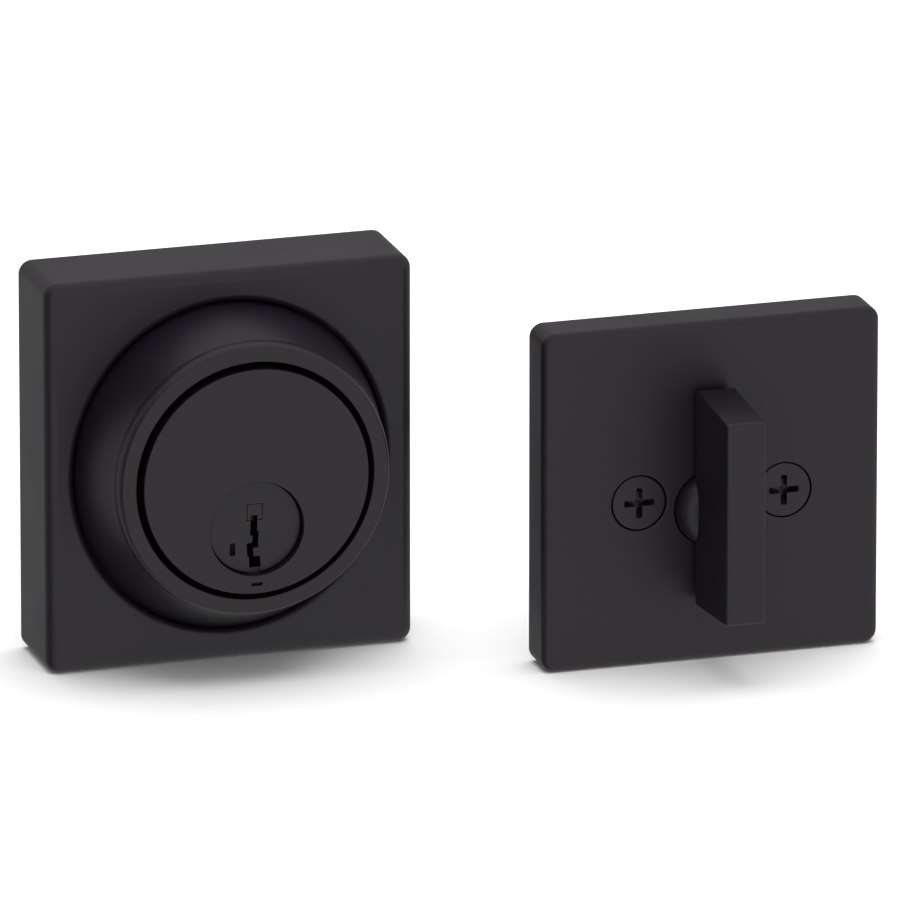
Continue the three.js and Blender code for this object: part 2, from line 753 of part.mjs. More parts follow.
// Thumbturn: blade, hub and slotted spindle in one casting.
function makeThumbturn() {
  const lengthwise = new THREE.Matrix4().makeBasis(
    new THREE.Vector3(0, 1, 0),
    new THREE.Vector3(0, 0, 1),
    new THREE.Vector3(1, 0, 0),
  );
  const wing = new THREE.ExtrudeGeometry(bladeOutline(), {
    depth: turn.thickness - 2 * turn.edge,
    bevelThickness: turn.edge,
    bevelSize: turn.edge,
    bevelOffset: -turn.edge,
    bevelSegments: 3,
    curveSegments: 3,
  });
  wing.applyMatrix4(lengthwise).translate(-turn.thickness / 2 + turn.edge, 0, 0);
  const shoulder = cover.face - seat / 2;
  const domeHeight = turn.gap + hub.dome - hub.rim;
  const clipFront = hubClipFront - seat / 2;
  const clipBack = hubClipFront + hubClip.thickness + seat / 2;
  const stem = turned(
    [
      [0, hub.back],
      [0, -turn.gap - hub.dome],
      ...arc(hub.crown, -hub.rim, hubRadius - hub.crown, domeHeight, 270, 360, 3),
      [hubRadius, shoulder],
      [spindle, shoulder],
      [spindle, clipFront],
      [hubNeck, clipFront],
      [hubNeck, clipBack],
      [spindle, clipBack],
      [spindle, hub.back - 0.4],
      [spindle - 0.4, hub.back],
    ],
    sides.medium,
  );
  const slot = halfRound(blade.radius + loose / 2, blade.flat + loose / 2);
  return solid(wing).add(stem).subtract(slab(slot, hub.back - hub.slotDepth, hub.back + 1, 6));
}

function makeHubClip() {
  const half = hubClip.opening / 2;
  const ring = sector(hubNeck + seat, hubClipRadius, -90 + half, 270 - half);
  return slab(ring, hubClipFront, hubClipFront + hubClip.thickness, 10);
}

// A thin ring that rises and falls as it goes round.
function makeWaveWasher() {
  const inner = spindle + washer.inside;
  const outer = hubClipRadius + washer.outside;
  const across = [
    [inner, 0],
    [outer, 0],
    [outer, washer.thickness],
    [inner, washer.thickness],
    [inner, 0],
  ].map(([radius, y]) => new THREE.Vector2(radius, y));
  const ring = new THREE.LatheGeometry(across, sides.large);
  const points = ring.getAttribute("position");
  for (let index = 0; index < points.count; index += 1) {
    const angle = Math.atan2(points.getZ(index), points.getX(index));
    points.setY(index, points.getY(index) + washer.wave * (1 + Math.cos(washer.waves * angle)));
  }
  return solid(ring.translate(0, washerFront, 0));
}

function makeScrew(place) {
  const neckStart = screw.rim + screw.cone;
  let body = turned(
    [
      [0, screw.length],
      [0, 0.02],
      [screwHead - 0.15, 0.02],
      [screwHead, 0.17],
      [screwHead, screw.rim],
      [thread.radius, neckStart],
      [thread.radius, screw.length - screw.point],
      [thread.radius - screw.point / 2, screw.length],
    ],
    sides.small,
  );
  const reach = phillips.span / 2;
  const arm = phillips.arm / 2;
  body = body
    .subtract(crossArm(reach, arm))
    .subtract(crossArm(reach, arm).rotate([0, 90, 0]))
    .subtract(cone(phillips.core * 0.7, 0.3, -0.2, phillips.depth, 0, 0, sides.tiny));
  return body.translate(place.x, 0, place.z);
}

// One bar of a cross recess. It narrows as it goes in.
function crossArm(reach, arm) {
  const outline = new THREE.Shape();
  outline.moveTo(-reach, -0.2);
  outline.lineTo(reach, -0.2);
  outline.lineTo(reach * phillips.taper, phillips.depth * 0.8);
  outline.lineTo(-reach * phillips.taper, phillips.depth * 0.8);
  outline.closePath();
  const bar = new THREE.ExtrudeGeometry(outline, { depth: 2 * arm, bevelEnabled: false });
  return solid(bar.translate(0, 0, -arm));
}

// ---------------------------------------------------------------- assembly

const exterior = new THREE.Group();
exterior.add(
  piece("exterior_rose", makeRose(), satinBlack),
  piece("guard_collar", makeCollar(), satinBlack),
  piece("collar_snap_ring", makeSnapRing(), springSteel),
  piece("cylinder_housing", makeHousing(), satinBlack),
  piece("backing_plate", makeBackingPlate(), steel),
  piece("plug", makePlug(), satinBlack),
  piece("plug_face_insert", makeFaceInsert(), satinBlack),
  piece("plug_clip", makePlugClip(), springSteel),
  piece("spring_cover", makeSpringCover(), brass),
  piece("rack_carriage", makeCarriage(), zinc),
  piece("sidebar", makeSidebar(), steel),
  piece("tail_driver", makeTailDriver(), steel),
  piece("torque_blade", makeTorqueBlade(), steel),
);
for (const [index, side] of [-1, 1].entries()) {
  const hand = ["left", "right"][index];
  const mounted = piece("mounting_post_" + hand, makePost(), zinc);
  mounted.position.set((side * posts.apart) / 2, 0, posts.above);
  exterior.add(mounted, piece("drill_guard_pin_" + hand, guardPinSolid(side, 0), steel));
}
sidebarSpringPlaces.forEach((y, index) => {
  exterior.add(piece("sidebar_spring_" + (index + 1), makeSidebarSpring(y), springSteel));
});
const springLength = plug.radius - springCover.thickness - pin.top - 2 * seat;
for (let index = 0; index < tumblers.count; index += 1) {
  const tumbler = new THREE.Group();
  const spring = piece("pin_spring_" + (index + 1), coil(pinSpring, springLength), springSteel);
  spring.position.set(pinX, 0, pin.top + seat);
  const keyPin = piece("key_pin_" + (index + 1), makeKeyPin(), brass);
  keyPin.position.set(pinX, 0, 0);
  tumbler.add(keyPin, spring, piece("rack_" + (index + 1), makeRack(), brass));
  tumbler.position.set(0, tumblerY(index), 0);
  exterior.add(tumbler);
}
exterior.position.set(0, 0, rose.height / 2 - rose.centre);

const interior = new THREE.Group();
interior.add(
  piece("interior_cover", makeCover(), satinBlack),
  piece("stiffener_plate", makeStiffener(), steel),
  piece("thumbturn", makeThumbturn(), satinBlack),
  piece("thumbturn_clip", makeHubClip(), springSteel),
  piece("wave_washer", makeWaveWasher(), springSteel),
  piece("mounting_screw_left", makeScrew(screwPlaces[0]), blackScrew),
  piece("mounting_screw_right", makeScrew(screwPlaces[1]), blackScrew),
);
const apart = rose.width / 2 + halves.gap + cover.width / 2;
interior.position.set(apart, -halves.stagger, cover.height / 2 - cover.centre);

const lock = new THREE.Group();
lock.add(exterior, interior);
lock.updateMatrixWorld(true);
// The origin is under the middle of the pair, on the surface that both halves stand on.
const extent = new THREE.Box3().setFromObject(lock);
lock.position.set(-(extent.min.x + extent.max.x) / 2, -(extent.min.y + extent.max.y) / 2, -extent.min.z);

export default lock;
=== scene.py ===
# Deadbolt door lock: the exterior half with its key cylinder, and the interior half with its thumbturn,
# standing side by side. Metres, +X right, +Y into the door, +Z up.
import json
import math

import bmesh
import bpy
from mathutils import Matrix, Vector


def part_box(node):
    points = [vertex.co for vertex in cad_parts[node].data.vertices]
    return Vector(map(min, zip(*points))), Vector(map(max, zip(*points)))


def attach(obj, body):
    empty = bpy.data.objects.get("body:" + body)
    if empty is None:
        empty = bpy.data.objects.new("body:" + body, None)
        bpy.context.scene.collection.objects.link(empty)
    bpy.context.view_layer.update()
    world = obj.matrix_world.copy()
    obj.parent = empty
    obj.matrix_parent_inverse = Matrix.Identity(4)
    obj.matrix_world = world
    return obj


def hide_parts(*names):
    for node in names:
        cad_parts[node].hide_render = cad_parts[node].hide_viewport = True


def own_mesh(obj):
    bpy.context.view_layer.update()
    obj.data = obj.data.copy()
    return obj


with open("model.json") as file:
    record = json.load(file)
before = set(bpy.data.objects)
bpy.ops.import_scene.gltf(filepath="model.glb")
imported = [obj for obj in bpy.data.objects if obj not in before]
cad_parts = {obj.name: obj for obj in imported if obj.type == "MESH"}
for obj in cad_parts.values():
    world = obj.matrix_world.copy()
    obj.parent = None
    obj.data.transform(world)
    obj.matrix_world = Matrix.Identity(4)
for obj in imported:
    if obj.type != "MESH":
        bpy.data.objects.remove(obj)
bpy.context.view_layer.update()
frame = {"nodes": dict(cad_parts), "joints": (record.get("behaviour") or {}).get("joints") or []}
joints = {joint["name"]: joint for joint in frame["joints"]}


# ---------------------------------------------------------------- exterior rose
# The square cover on the outside of the door: a hollow zinc die casting with rounded front edges and a
# deep oval recess for the collar's foot. It is tumbled, primed and powder coated in satin black.

MM = 0.001
plug_x, _, plug_z = joints["plug_turn"]["pos_m"]
cylinder_low, cylinder_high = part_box("cylinder_housing")
cylinder_z = (cylinder_low.z + cylinder_high.z) / 2
rose_low, rose_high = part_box("exterior_rose")
rose_front = rose_low.y
ROSE_CORNER = 2.3 * MM
ROSE_EDGE = 2.0 * MM
ROSE_WALL = 2.4 * MM
ROSE_FACE = 3.4 * MM
LOOSE = 0.3 * MM
ROSE_BELOW = 1.8 * MM
RECESS_RADIUS = 26.6 * MM
RECESS_DEPTH = 2.0 * MM
RECESS_LIP = 1.3 * MM
RECESS_TALL = 1.5 * MM
COLLAR_GAP = 1.05 * MM
COLLAR_TUBE = 1.6 * MM
COLLAR_RIM = 1.48 * MM
FINE = 192  # segments round the large turned faces


def circle_arc(centre, spans, start, end, steps):
    """Points of an elliptical arc about a centre, between two angles in degrees."""
    angles = [math.radians(start + (end - start) * i / steps) for i in range(steps + 1)]
    return [(centre[0] + spans[0] * math.cos(a), centre[1] + spans[1] * math.sin(a)) for a in angles]


def new_piece(name, points, faces):
    """A mesh object from points and faces, with its doubles merged and its faces turned outwards."""
    mesh = bpy.data.meshes.new(name)
    mesh.from_pydata([tuple(p) for p in points], [], faces)
    shape = bmesh.new()
    shape.from_mesh(mesh)
    bmesh.ops.remove_doubles(shape, verts=shape.verts, dist=1e-7)
    bmesh.ops.recalc_face_normals(shape, faces=shape.faces)
    shape.to_mesh(mesh)
    shape.free()
    made = bpy.data.objects.new(name, mesh)
    bpy.context.scene.collection.objects.link(made)
    return made


def turned(name, profile, x, z, segments=FINE):
    """A closed profile of (radius, y) pairs turned round an axis along Y."""
    points, rings = [], []
    for radius, y in profile:
        count = segments if radius > 1e-9 else 1
        rings.append([len(points) + i for i in range(count)])
        for i in range(count):
            angle = 2 * math.pi * i / segments
            points.append((x + radius * math.cos(angle), y, z + radius * math.sin(angle)))
    faces = []
    for ring, after in zip(rings, rings[1:] + rings[:1]):
        if len(ring) == len(after) == 1:
            continue
        for i in range(segments):
            k = (i + 1) % segments
            corners = [ring[i % len(ring)], ring[k % len(ring)], after[k % len(after)], after[i % len(after)]]
            faces.append(list(dict.fromkeys(corners)))
    return new_piece(name, points, faces)


def softened(corners, radius, inset=0.0, steps=8):
    """A convex outline moved inwards by inset, with its corners rounded."""
    count = len(corners)
    sides = []
    for i in range(count):
        start, end = Vector(corners[i]), Vector(corners[(i + 1) % count])
        along = (end - start).normalized()
        sides.append((start + Vector((-along.y, along.x)) * inset, along))
    outline = []
    round_off = max(radius - inset, 0.25 * MM)
    for i in range(count):
        (p, u), (q, v) = sides[i - 1], sides[i]
        corner = p + u * ((q - p).cross(v) / u.cross(v))
        half = (math.pi - u.angle(v)) / 2
        centre = corner + (v - u).normalized() * (round_off / math.sin(half))
        first = corner - u * (round_off / math.tan(half)) - centre
        turn = u.angle(v)
        for step in range(steps + 1):
            angle = turn * step / steps
            outline.append(centre + Vector((
                first.x * math.cos(angle) - first.y * math.sin(angle),
                first.x * math.sin(angle) + first.y * math.cos(angle),
            )))
    return outline


def rectangle(low_x, high_x, low_z, high_z):
    return [(low_x, low_z), (high_x, low_z), (high_x, high_z), (low_x, high_z)]


def lofted(name, rings, closed=False):
    """A skin over rings of equal length, capped at both ends unless it closes on itself."""
    count = len(rings[0])
    points = [p for ring in rings for p in ring]
    pairs = list(zip(range(len(rings)), range(1, len(rings))))
    if closed:
        pairs.append((len(rings) - 1, 0))
    faces = [
        [a * count + i, a * count + (i + 1) % count, b * count + (i + 1) % count, b * count + i]
        for a, b in pairs
        for i in range(count)
    ]
    if not closed:
        faces += [list(range(count)), [(len(rings) - 1) * count + i for i in range(count)]]
    return new_piece(name, points, faces)


def plate(name, corners, radius, front, back, front_edge=0.0, back_edge=0.0, steps=8):
    """An outline in X and Z, thickened along Y, with its front and back edges rounded."""
    levels = [(front_edge * (1 - s), front + front_edge * (1 - c)) for s, c in quarter(steps, front_edge)]
    levels += [(back_edge * (1 - s), back - back_edge * (1 - c))
               for s, c in reversed(quarter(steps, back_edge))]
    rings = [[(p.x, y, p.y) for p in softened(corners, radius, inset)] for inset, y in levels]
    return lofted(name, rings)


def quarter(steps, size):
    """Sines and cosines over a quarter turn, or just its end where there is no edge to round."""
    if size <= 0:
        return [(1.0, 1.0)]
    angles = [0.5 * math.pi * i / steps for i in range(steps + 1)]
    return [(math.sin(a), math.cos(a)) for a in angles]


def box_piece(name, low, high):
    corners = rectangle(low[0], high[0], low[2], high[2])
    rings = [[(x, y, z) for x, z in corners] for y in (low[1], high[1])]
    return lofted(name, rings)


def applied(piece):
    """The piece with its modifiers made part of its mesh."""
    evaluated = piece.evaluated_get(bpy.context.evaluated_depsgraph_get())
    mesh = bpy.data.meshes.new_from_object(evaluated)
    piece.modifiers.clear()
    old = piece.data
    piece.data = mesh
    bpy.data.meshes.remove(old)
    return piece


def combined(piece, other, operation="DIFFERENCE"):
    """The piece with another one cut away from it or joined to it."""
    step = piece.modifiers.new("combine", "BOOLEAN")
    step.operation = operation
    step.solver = "EXACT"
    step.object = other
    applied(piece)
    bpy.data.objects.remove(other)
    return piece


def finished(piece, material, nodes, body, sharp=32):
    """The piece shaded, coated, and standing for its CAD nodes on their body."""
    mesh = piece.data
    mesh.shade_smooth()
    mesh.set_sharp_from_angle(angle=math.radians(sharp))
    even = piece.modifiers.new("even faces", "WEIGHTED_NORMAL")
    even.keep_sharp = True
    applied(piece)
    piece.data.materials.clear()
    piece.data.materials.append(material)
    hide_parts(*nodes)
    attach(piece, body)
    return piece


def surface(name, colour, roughness, metallic=0.0, ior=1.5, grain=0.02, grain_size=0.35, vary=0.06,
            edge_highlight_level=0.0, streak=None, coat=0.0):
    """A shader with fine grain, uneven gloss and a painted highlight on its edges. Sizes are in millimetres."""
    material = bpy.data.materials.new(name)
    material.use_nodes = True
    nodes, links = material.node_tree.nodes, material.node_tree.links
    shader = nodes["Principled BSDF"]
    shader.inputs["Metallic"].default_value = metallic
    shader.inputs["IOR"].default_value = ior
    shader.inputs["Coat Weight"].default_value = coat
    place = nodes.new("ShaderNodeTexCoord").outputs["Object"]
    if streak:
        stretch = nodes.new("ShaderNodeMapping")
        stretch.inputs["Scale"].default_value = streak
        links.new(place, stretch.inputs["Vector"])
        place = stretch.outputs["Vector"]
    fine = nodes.new("ShaderNodeTexNoise")
    fine.inputs["Scale"].default_value = 1 / (grain_size * MM)
    fine.inputs["Detail"].default_value = 4.0
    cloudy = nodes.new("ShaderNodeTexNoise")
    cloudy.inputs["Scale"].default_value = 1 / (14 * MM)
    cloudy.inputs["Detail"].default_value = 3.0
    for texture in (fine, cloudy):
        links.new(place, texture.inputs["Vector"])
    both = nodes.new("ShaderNodeMath")
    both.operation = "ADD"
    links.new(fine.outputs["Fac"], both.inputs[0])
    links.new(cloudy.outputs["Fac"], both.inputs[1])
    gloss = nodes.new("ShaderNodeMapRange")
    gloss.inputs["From Min"].default_value = 0.6
    gloss.inputs["From Max"].default_value = 1.4
    gloss.inputs["To Min"].default_value = roughness - vary
    gloss.inputs["To Max"].default_value = roughness + vary
    links.new(both.outputs[0], gloss.inputs["Value"])
    links.new(gloss.outputs["Result"], shader.inputs["Roughness"])
    bump = nodes.new("ShaderNodeBump")
    bump.inputs["Strength"].default_value = 1.0
    bump.inputs["Distance"].default_value = grain * MM
    links.new(fine.outputs["Fac"], bump.inputs["Height"])
    links.new(bump.outputs["Normal"], shader.inputs["Normal"])
    # Painted edge highlight: where a softened normal leaves the true one, the colour is a little lighter. This
    # stands in for the faint highlight on the rounded edges.
    softened_normal = nodes.new("ShaderNodeBevel")
    softened_normal.samples = 6
    softened_normal.inputs["Radius"].default_value = 0.5 * MM
    true_normal = nodes.new("ShaderNodeNewGeometry")
    across = nodes.new("ShaderNodeVectorMath")
    across.operation = "DOT_PRODUCT"
    links.new(softened_normal.outputs["Normal"], across.inputs[0])
    links.new(true_normal.outputs["Normal"], across.inputs[1])
    highlight_edge_mask = nodes.new("ShaderNodeMapRange")
    highlight_edge_mask.inputs["From Min"].default_value = 1.0
    highlight_edge_mask.inputs["From Max"].default_value = 0.75
    highlight_edge_mask.inputs["To Max"].default_value = edge_highlight_level
    links.new(across.outputs["Value"], highlight_edge_mask.inputs["Value"])
    # The painted edge highlight, made stronger or weaker by the cloudy noise.
    painted_edge_highlight = nodes.new("ShaderNodeMath")
    painted_edge_highlight.operation = "MULTIPLY"
    links.new(highlight_edge_mask.outputs["Result"], painted_edge_highlight.inputs[0])
    links.new(cloudy.outputs["Fac"], painted_edge_highlight.inputs[1])
    tint = nodes.new("ShaderNodeMix")
    tint.data_type = "RGBA"
    tint.inputs["A"].default_value = (*colour, 1.0)
    tint.inputs["B"].default_value = (*[min(1.0, c * 2.2 + 0.01) for c in colour], 1.0)
    links.new(painted_edge_highlight.outputs[0], tint.inputs["Factor"])
    mottle = nodes.new("ShaderNodeMapRange")
    mottle.inputs["To Min"].default_value = 0.9
    mottle.inputs["To Max"].default_value = 1.1
    links.new(cloudy.outputs["Fac"], mottle.inputs["Value"])
    shade = nodes.new("ShaderNodeVectorMath")
    shade.operation = "SCALE"
    links.new(tint.outputs["Result"], shade.inputs[0])
    links.new(mottle.outputs["Result"], shade.inputs["Scale"])
    links.new(shade.outputs["Vector"], shader.inputs["Base Color"])
    return material


def casting(name, low, high, corner, edge, wall, face):
    """A box cover with rounded front edges, open at the back."""
    back_edge = 0.25 * MM
    hollow_edge = 0.6 * MM
    corners = rectangle(low.x, high.x, low.z, high.z)
    steps = 12
    levels = []
    for i in range(steps + 1):
        angle = 0.5 * math.pi * i / steps
        levels.append((edge * (1 - math.sin(angle)), low.y + edge * (1 - math.cos(angle))))
    levels += [(0.0, high.y - back_edge), (back_edge, high.y)]
    levels += [(wall - back_edge, high.y), (wall, high.y - back_edge)]
    levels += [(wall, low.y + face + hollow_edge), (wall + hollow_edge, low.y + face)]
    rings = [[(p.x, y, p.y) for p in softened(corners, corner, inset, 10)] for inset, y in levels]
    return lofted(name, rings)


coat_black = surface("satin black powder coat", (0.0078, 0.0050, 0.0092), 0.42, grain=0.004,
                     grain_size=0.28, vary=0.05, edge_highlight_level=0.35)

cylinder_radius = (cylinder_high.x - cylinder_low.x) / 2
collar_bore = cylinder_radius + COLLAR_GAP
collar_tube = collar_bore + COLLAR_TUBE
waist = collar_tube + COLLAR_RIM
flange_edge = RECESS_RADIUS - LOOSE


def towards_foot(piece):
    """A turned piece drawn out of round: its outer part is moved down the rose and made a little taller."""
    for point in piece.data.vertices:
        x, z = point.co.x - plug_x, point.co.z - cylinder_z
        radius = max(waist, math.hypot(x, z))
        share = min(1.0, (radius - waist) / (flange_edge - waist))
        point.co.z = cylinder_z + z * (1 + share * RECESS_TALL / radius) - share * ROSE_BELOW
    return piece


rose = casting("rose_casting", rose_low, rose_high, ROSE_CORNER, ROSE_EDGE, ROSE_WALL, ROSE_FACE)
lip_circle = (RECESS_RADIUS + RECESS_LIP, rose_front + RECESS_LIP)
opening = turned(
    "rose_opening",
    [(0, rose_front + ROSE_FACE + MM), (0, rose_front - MM), (lip_circle[0], rose_front - MM)]
    + circle_arc(lip_circle, (RECESS_LIP, RECESS_LIP), 270, 180, 8)
    + [(RECESS_RADIUS, rose_front + RECESS_DEPTH), (collar_tube + LOOSE, rose_front + RECESS_DEPTH),
       (collar_tube + LOOSE, rose_front + ROSE_FACE + MM)],
    plug_x, cylinder_z)
combined(rose, towards_foot(opening))
finished(rose, coat_black, ["exterior_rose"], "root")


# ---------------------------------------------------------------- guard collar
# A steel collar that keeps a wrench off the cylinder. Its rounded ring widens in steep sides to an oval
# foot, which sits in the rose's recess and can't turn there, and a snap ring behind the face holds it.

collar_low, collar_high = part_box("guard_collar")
RING_SOFT = 0.25 * MM
RING_CROWN = 0.9 * MM
RING_EDGE = 2.4 * MM
FLARE_FRONT = 11.8 * MM
FLARE_BACK = 0.7 * MM
FOOT_GAP = 0.13 * MM
SNAP_GROOVE = 0.6 * MM
SNAP_WIDTH = 1.1 * MM
ring_front = collar_low.y
foot_edge = RECESS_RADIUS - FOOT_GAP
flange_back = rose_front + RECESS_DEPTH - LOOSE
groove_front = rose_front + ROSE_FACE + 0.1 * MM
profile = [(collar_bore, collar_high.y)]
profile += circle_arc((collar_bore + RING_SOFT, ring_front + RING_SOFT), (RING_SOFT, RING_SOFT), 180, 270, 6)
profile += circle_arc((waist - RING_CROWN, ring_front + RING_EDGE), (RING_CROWN, RING_EDGE), 270, 360, 14)
profile += [(waist, rose_front - FLARE_FRONT), (foot_edge, rose_front + FLARE_BACK)]
profile += [(foot_edge, flange_back), (collar_tube, flange_back), (collar_tube, groove_front),
            (collar_tube - SNAP_GROOVE, groove_front), (collar_tube - SNAP_GROOVE, groove_front + SNAP_WIDTH),
            (collar_tube, groove_front + SNAP_WIDTH), (collar_tube, collar_high.y)]
collar = towards_foot(turned("collar_turning", profile, plug_x, cylinder_z))
coat_collar = surface("satin black coat on turned steel", (0.0078, 0.0050, 0.0092), 0.36, grain=0.003,
                      grain_size=0.28, vary=0.04, edge_highlight_level=0.4)
finished(collar, coat_collar, ["guard_collar"], "root")


# ---------------------------------------------------------------- cylinder housing
# The body that holds the plug: a zinc casting with a flat faced front, bored near its foot for the plug
# and from behind for the mounting posts. A short slot under the plug marks the key's upright place.

SEAT = 0.1 * MM
RUNNING = 0.05 * MM
CYLINDER_EDGE = 0.15 * MM
plug_low, plug_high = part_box("plug")
plug_radius = (plug_high.x - plug_low.x) / 2
bore = plug_radius + RUNNING
cylinder_front = cylinder_low.y
plug_front = plug_low.y
MOUTH_CHAMFER = 0.08 * MM
clip_low, clip_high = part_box("plug_clip")
clip_radius = clip_high.z - plug_z
carriage_low, carriage_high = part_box("rack_carriage")
housing = turned(
    "cylinder_casting",
    [(0, cylinder_high.y), (0, cylinder_front)]
    + circle_arc((cylinder_radius - CYLINDER_EDGE, cylinder_front + CYLINDER_EDGE),
                 (CYLINDER_EDGE, CYLINDER_EDGE), 270, 360, 6)
    + [(cylinder_radius, cylinder_high.y)],
    plug_x, cylinder_z)
bore_cutter = turned(
    "bore",
    [(0, cylinder_high.y + MM), (0, cylinder_front - MM), (bore + MOUTH_CHAMFER + MM, cylinder_front - MM),
     (bore, cylinder_front + MOUTH_CHAMFER), (bore, clip_low.y - SEAT / 2),
     (clip_radius + 0.2 * MM, clip_low.y - SEAT / 2), (clip_radius + 0.2 * MM, cylinder_high.y + MM)],
    plug_x, plug_z)
combined(housing, bore_cutter)
SIDEBAR_TRAVEL = joints["sidebar_slide"]["range_m"][1]
sidebar_low, sidebar_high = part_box("sidebar")
deep = bore + SIDEBAR_TRAVEL
half = (sidebar_high.z - sidebar_low.z) / 2 + 0.35 * MM
groove_span = (carriage_low.y - LOOSE, carriage_high.y + LOOSE)
combined(housing, box_piece("rest_groove", (plug_x - deep, groove_span[0], plug_z - half),
                            (plug_x, groove_span[1], plug_z + half)))
combined(housing, box_piece("turned_groove", (plug_x - half, groove_span[0], plug_z - deep),
                            (plug_x + half, groove_span[1], plug_z + deep)))
SLOT_WIDTH = 2.0 * MM
SLOT_HEIGHT = 0.6 * MM
SLOT_DEPTH = 1.0 * MM
slot_z = plug_z - bore - 1.4 * MM
combined(housing, plate("index_slot", rectangle(plug_x - SLOT_WIDTH / 2, plug_x + SLOT_WIDTH / 2,
                                                slot_z - SLOT_HEIGHT / 2, slot_z + SLOT_HEIGHT / 2),
                        0.28 * MM, cylinder_front - MM, cylinder_front + SLOT_DEPTH))
for hand in ("left", "right"):
    post_low, post_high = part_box("mounting_post_" + hand)
    post_x = (post_low.x + post_high.x) / 2
    post_z = (post_low.z + post_high.z) / 2
    seat_profile = [(0, post_low.y - SEAT), (2.95 * MM, post_low.y - SEAT), (2.95 * MM, cylinder_high.y + MM),
                    (0, cylinder_high.y + MM)]
    combined(housing, turned("post_seat", seat_profile, post_x, post_z, 48))
    pin_low, pin_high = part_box("drill_guard_pin_" + hand)
    pin_hole = turned("pin_hole", [(0, 0), (1.05 * MM, 0), (1.05 * MM, 20 * MM), (0, 20 * MM)], 0, 0, 32)
    pin_hole.data.transform(Matrix.Translation(((pin_low.x + pin_high.x) / 2, (pin_low.y + pin_high.y) / 2,
                                                pin_low.z)) @ Matrix.Rotation(math.radians(90), 4, "X"))
    combined(housing, pin_hole)
coat_cylinder = surface("satin black coat on a machined face", (0.0074, 0.0048, 0.0087), 0.40, grain=0.003,
                        grain_size=0.22, vary=0.04, edge_highlight_level=0.35)
finished(housing, coat_cylinder, ["cylinder_housing"], "root")


# ---------------------------------------------------------------- plug
# The part that the key turns: a black plug set back in its bore, with a dimple round the crooked keyway,
# a small hole for the rekeying tool, and a hardened square insert above the keyway.

PLUG_CHAMFER = 0.25 * MM
PLUG_TAIL = 0.7 * MM
plug_tail = clip_high.y + PLUG_TAIL
lug_outer = plug_radius - 1.35 * MM
plug_neck = plug_radius - 1.15 * MM
plug_piece = turned(
    "plug_turning",
    [(0, plug_tail), (0, plug_front), (plug_radius - PLUG_CHAMFER, plug_front)]
    + [(plug_radius, plug_front + PLUG_CHAMFER), (plug_radius, clip_low.y - SEAT / 2),
       (plug_neck, clip_low.y - SEAT / 2), (plug_neck, clip_high.y + SEAT / 2),
       (plug_radius, clip_high.y + SEAT / 2), (plug_radius, plug_tail)],
    plug_x, plug_z, 128)
DIMPLE_DEPTH = 0.8 * MM
dimple_x = plug_x + 0.05 * MM
dimple_z = plug_z - 3.0 * MM
dimple = turned("dimple", [(0, plug_front - DIMPLE_DEPTH / 2), (4.35 * MM, plug_front - DIMPLE_DEPTH / 2),
                           (0, plug_front + DIMPLE_DEPTH)], dimple_x, dimple_z, 96)
combined(plug_piece, dimple)
# The keyway's legs, as left, right, top and bottom about the plug's axis.
KEYWAY_LEGS = [(-0.7, 0.5, 2.0, -1.6), (-0.2, 0.8, -0.8, -3.8),
               (-1.2, -0.1, -2.9, -5.2), (-0.95, 1.0, -5.1, -7.05)]
KEYWAY_DEPTH = 21.5 * MM
for left, right, top, bottom in KEYWAY_LEGS:
    leg = plate("keyway_leg",
                rectangle(plug_x + left * MM, plug_x + right * MM, plug_z + bottom * MM, plug_z + top * MM),
                0.1 * MM, plug_front - MM, plug_front + KEYWAY_DEPTH)
    combined(plug_piece, leg)
foot_left, foot_right, _, foot_bottom = KEYWAY_LEGS[-1]
combined(plug_piece, box_piece(
    "foot_groove",
    (plug_x + foot_left * MM, plug_front - MM, plug_z - plug_radius - MM),
    (plug_x + foot_right * MM, plug_front + 0.3 * MM, plug_z + (foot_bottom + 0.2) * MM)))
TOOL_HOLE = (-4.3, -3.3, -4.7, -2.5)
tool_left, tool_right, tool_bottom, tool_top = (v * MM for v in TOOL_HOLE)
tool_outline = rectangle(plug_x + tool_left, plug_x + tool_right, plug_z + tool_bottom, plug_z + tool_top)
combined(plug_piece, plate("tool_hole", tool_outline, 0.3 * MM, plug_front - MM, carriage_low.y + 0.5 * MM))
insert_low, insert_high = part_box("plug_face_insert")
INSERT_GAP = 0.10 * MM
combined(plug_piece, box_piece(
    "insert_pocket",
    (insert_low.x - INSERT_GAP, plug_front - MM, insert_low.z - INSERT_GAP),
    (insert_high.x + INSERT_GAP, insert_high.y + SEAT / 2, insert_high.z + INSERT_GAP)))
combined(plug_piece, box_piece(
    "carriage_pocket",
    (plug_x - plug_radius - MM, carriage_low.y - SEAT / 2, carriage_low.z - SEAT / 2),
    (carriage_high.x + SEAT / 2, carriage_high.y + SEAT / 2, plug_z + 6.05 * MM)))
TUMBLERS = 5
TRAVEL = joints["tumbler_1_lift"]["range_m"][1]
for index in range(1, TUMBLERS + 1):
    pin_low, pin_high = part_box(f"key_pin_{index}")
    rack_low, rack_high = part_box(f"rack_{index}")
    pin_x, pin_y = (pin_low.x + pin_high.x) / 2, (pin_low.y + pin_high.y) / 2
    chamber = turned("chamber", [(0, 0), (1.3 * MM, 0), (1.3 * MM, 12 * MM), (0, 12 * MM)], 0, 0, 32)
    chamber.data.transform(Matrix.Translation((pin_x, pin_y, pin_low.z - SEAT))
                           @ Matrix.Rotation(math.radians(90), 4, "X"))
    combined(plug_piece, chamber)
    combined(plug_piece, box_piece(
        "window",
        (carriage_high.x - MM, rack_low.y - SEAT / 2, plug_z + 1.65 * MM),
        (pin_x, rack_high.y + SEAT / 2, plug_z + 2.65 * MM + TRAVEL)))
cover_low, cover_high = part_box("spring_cover")
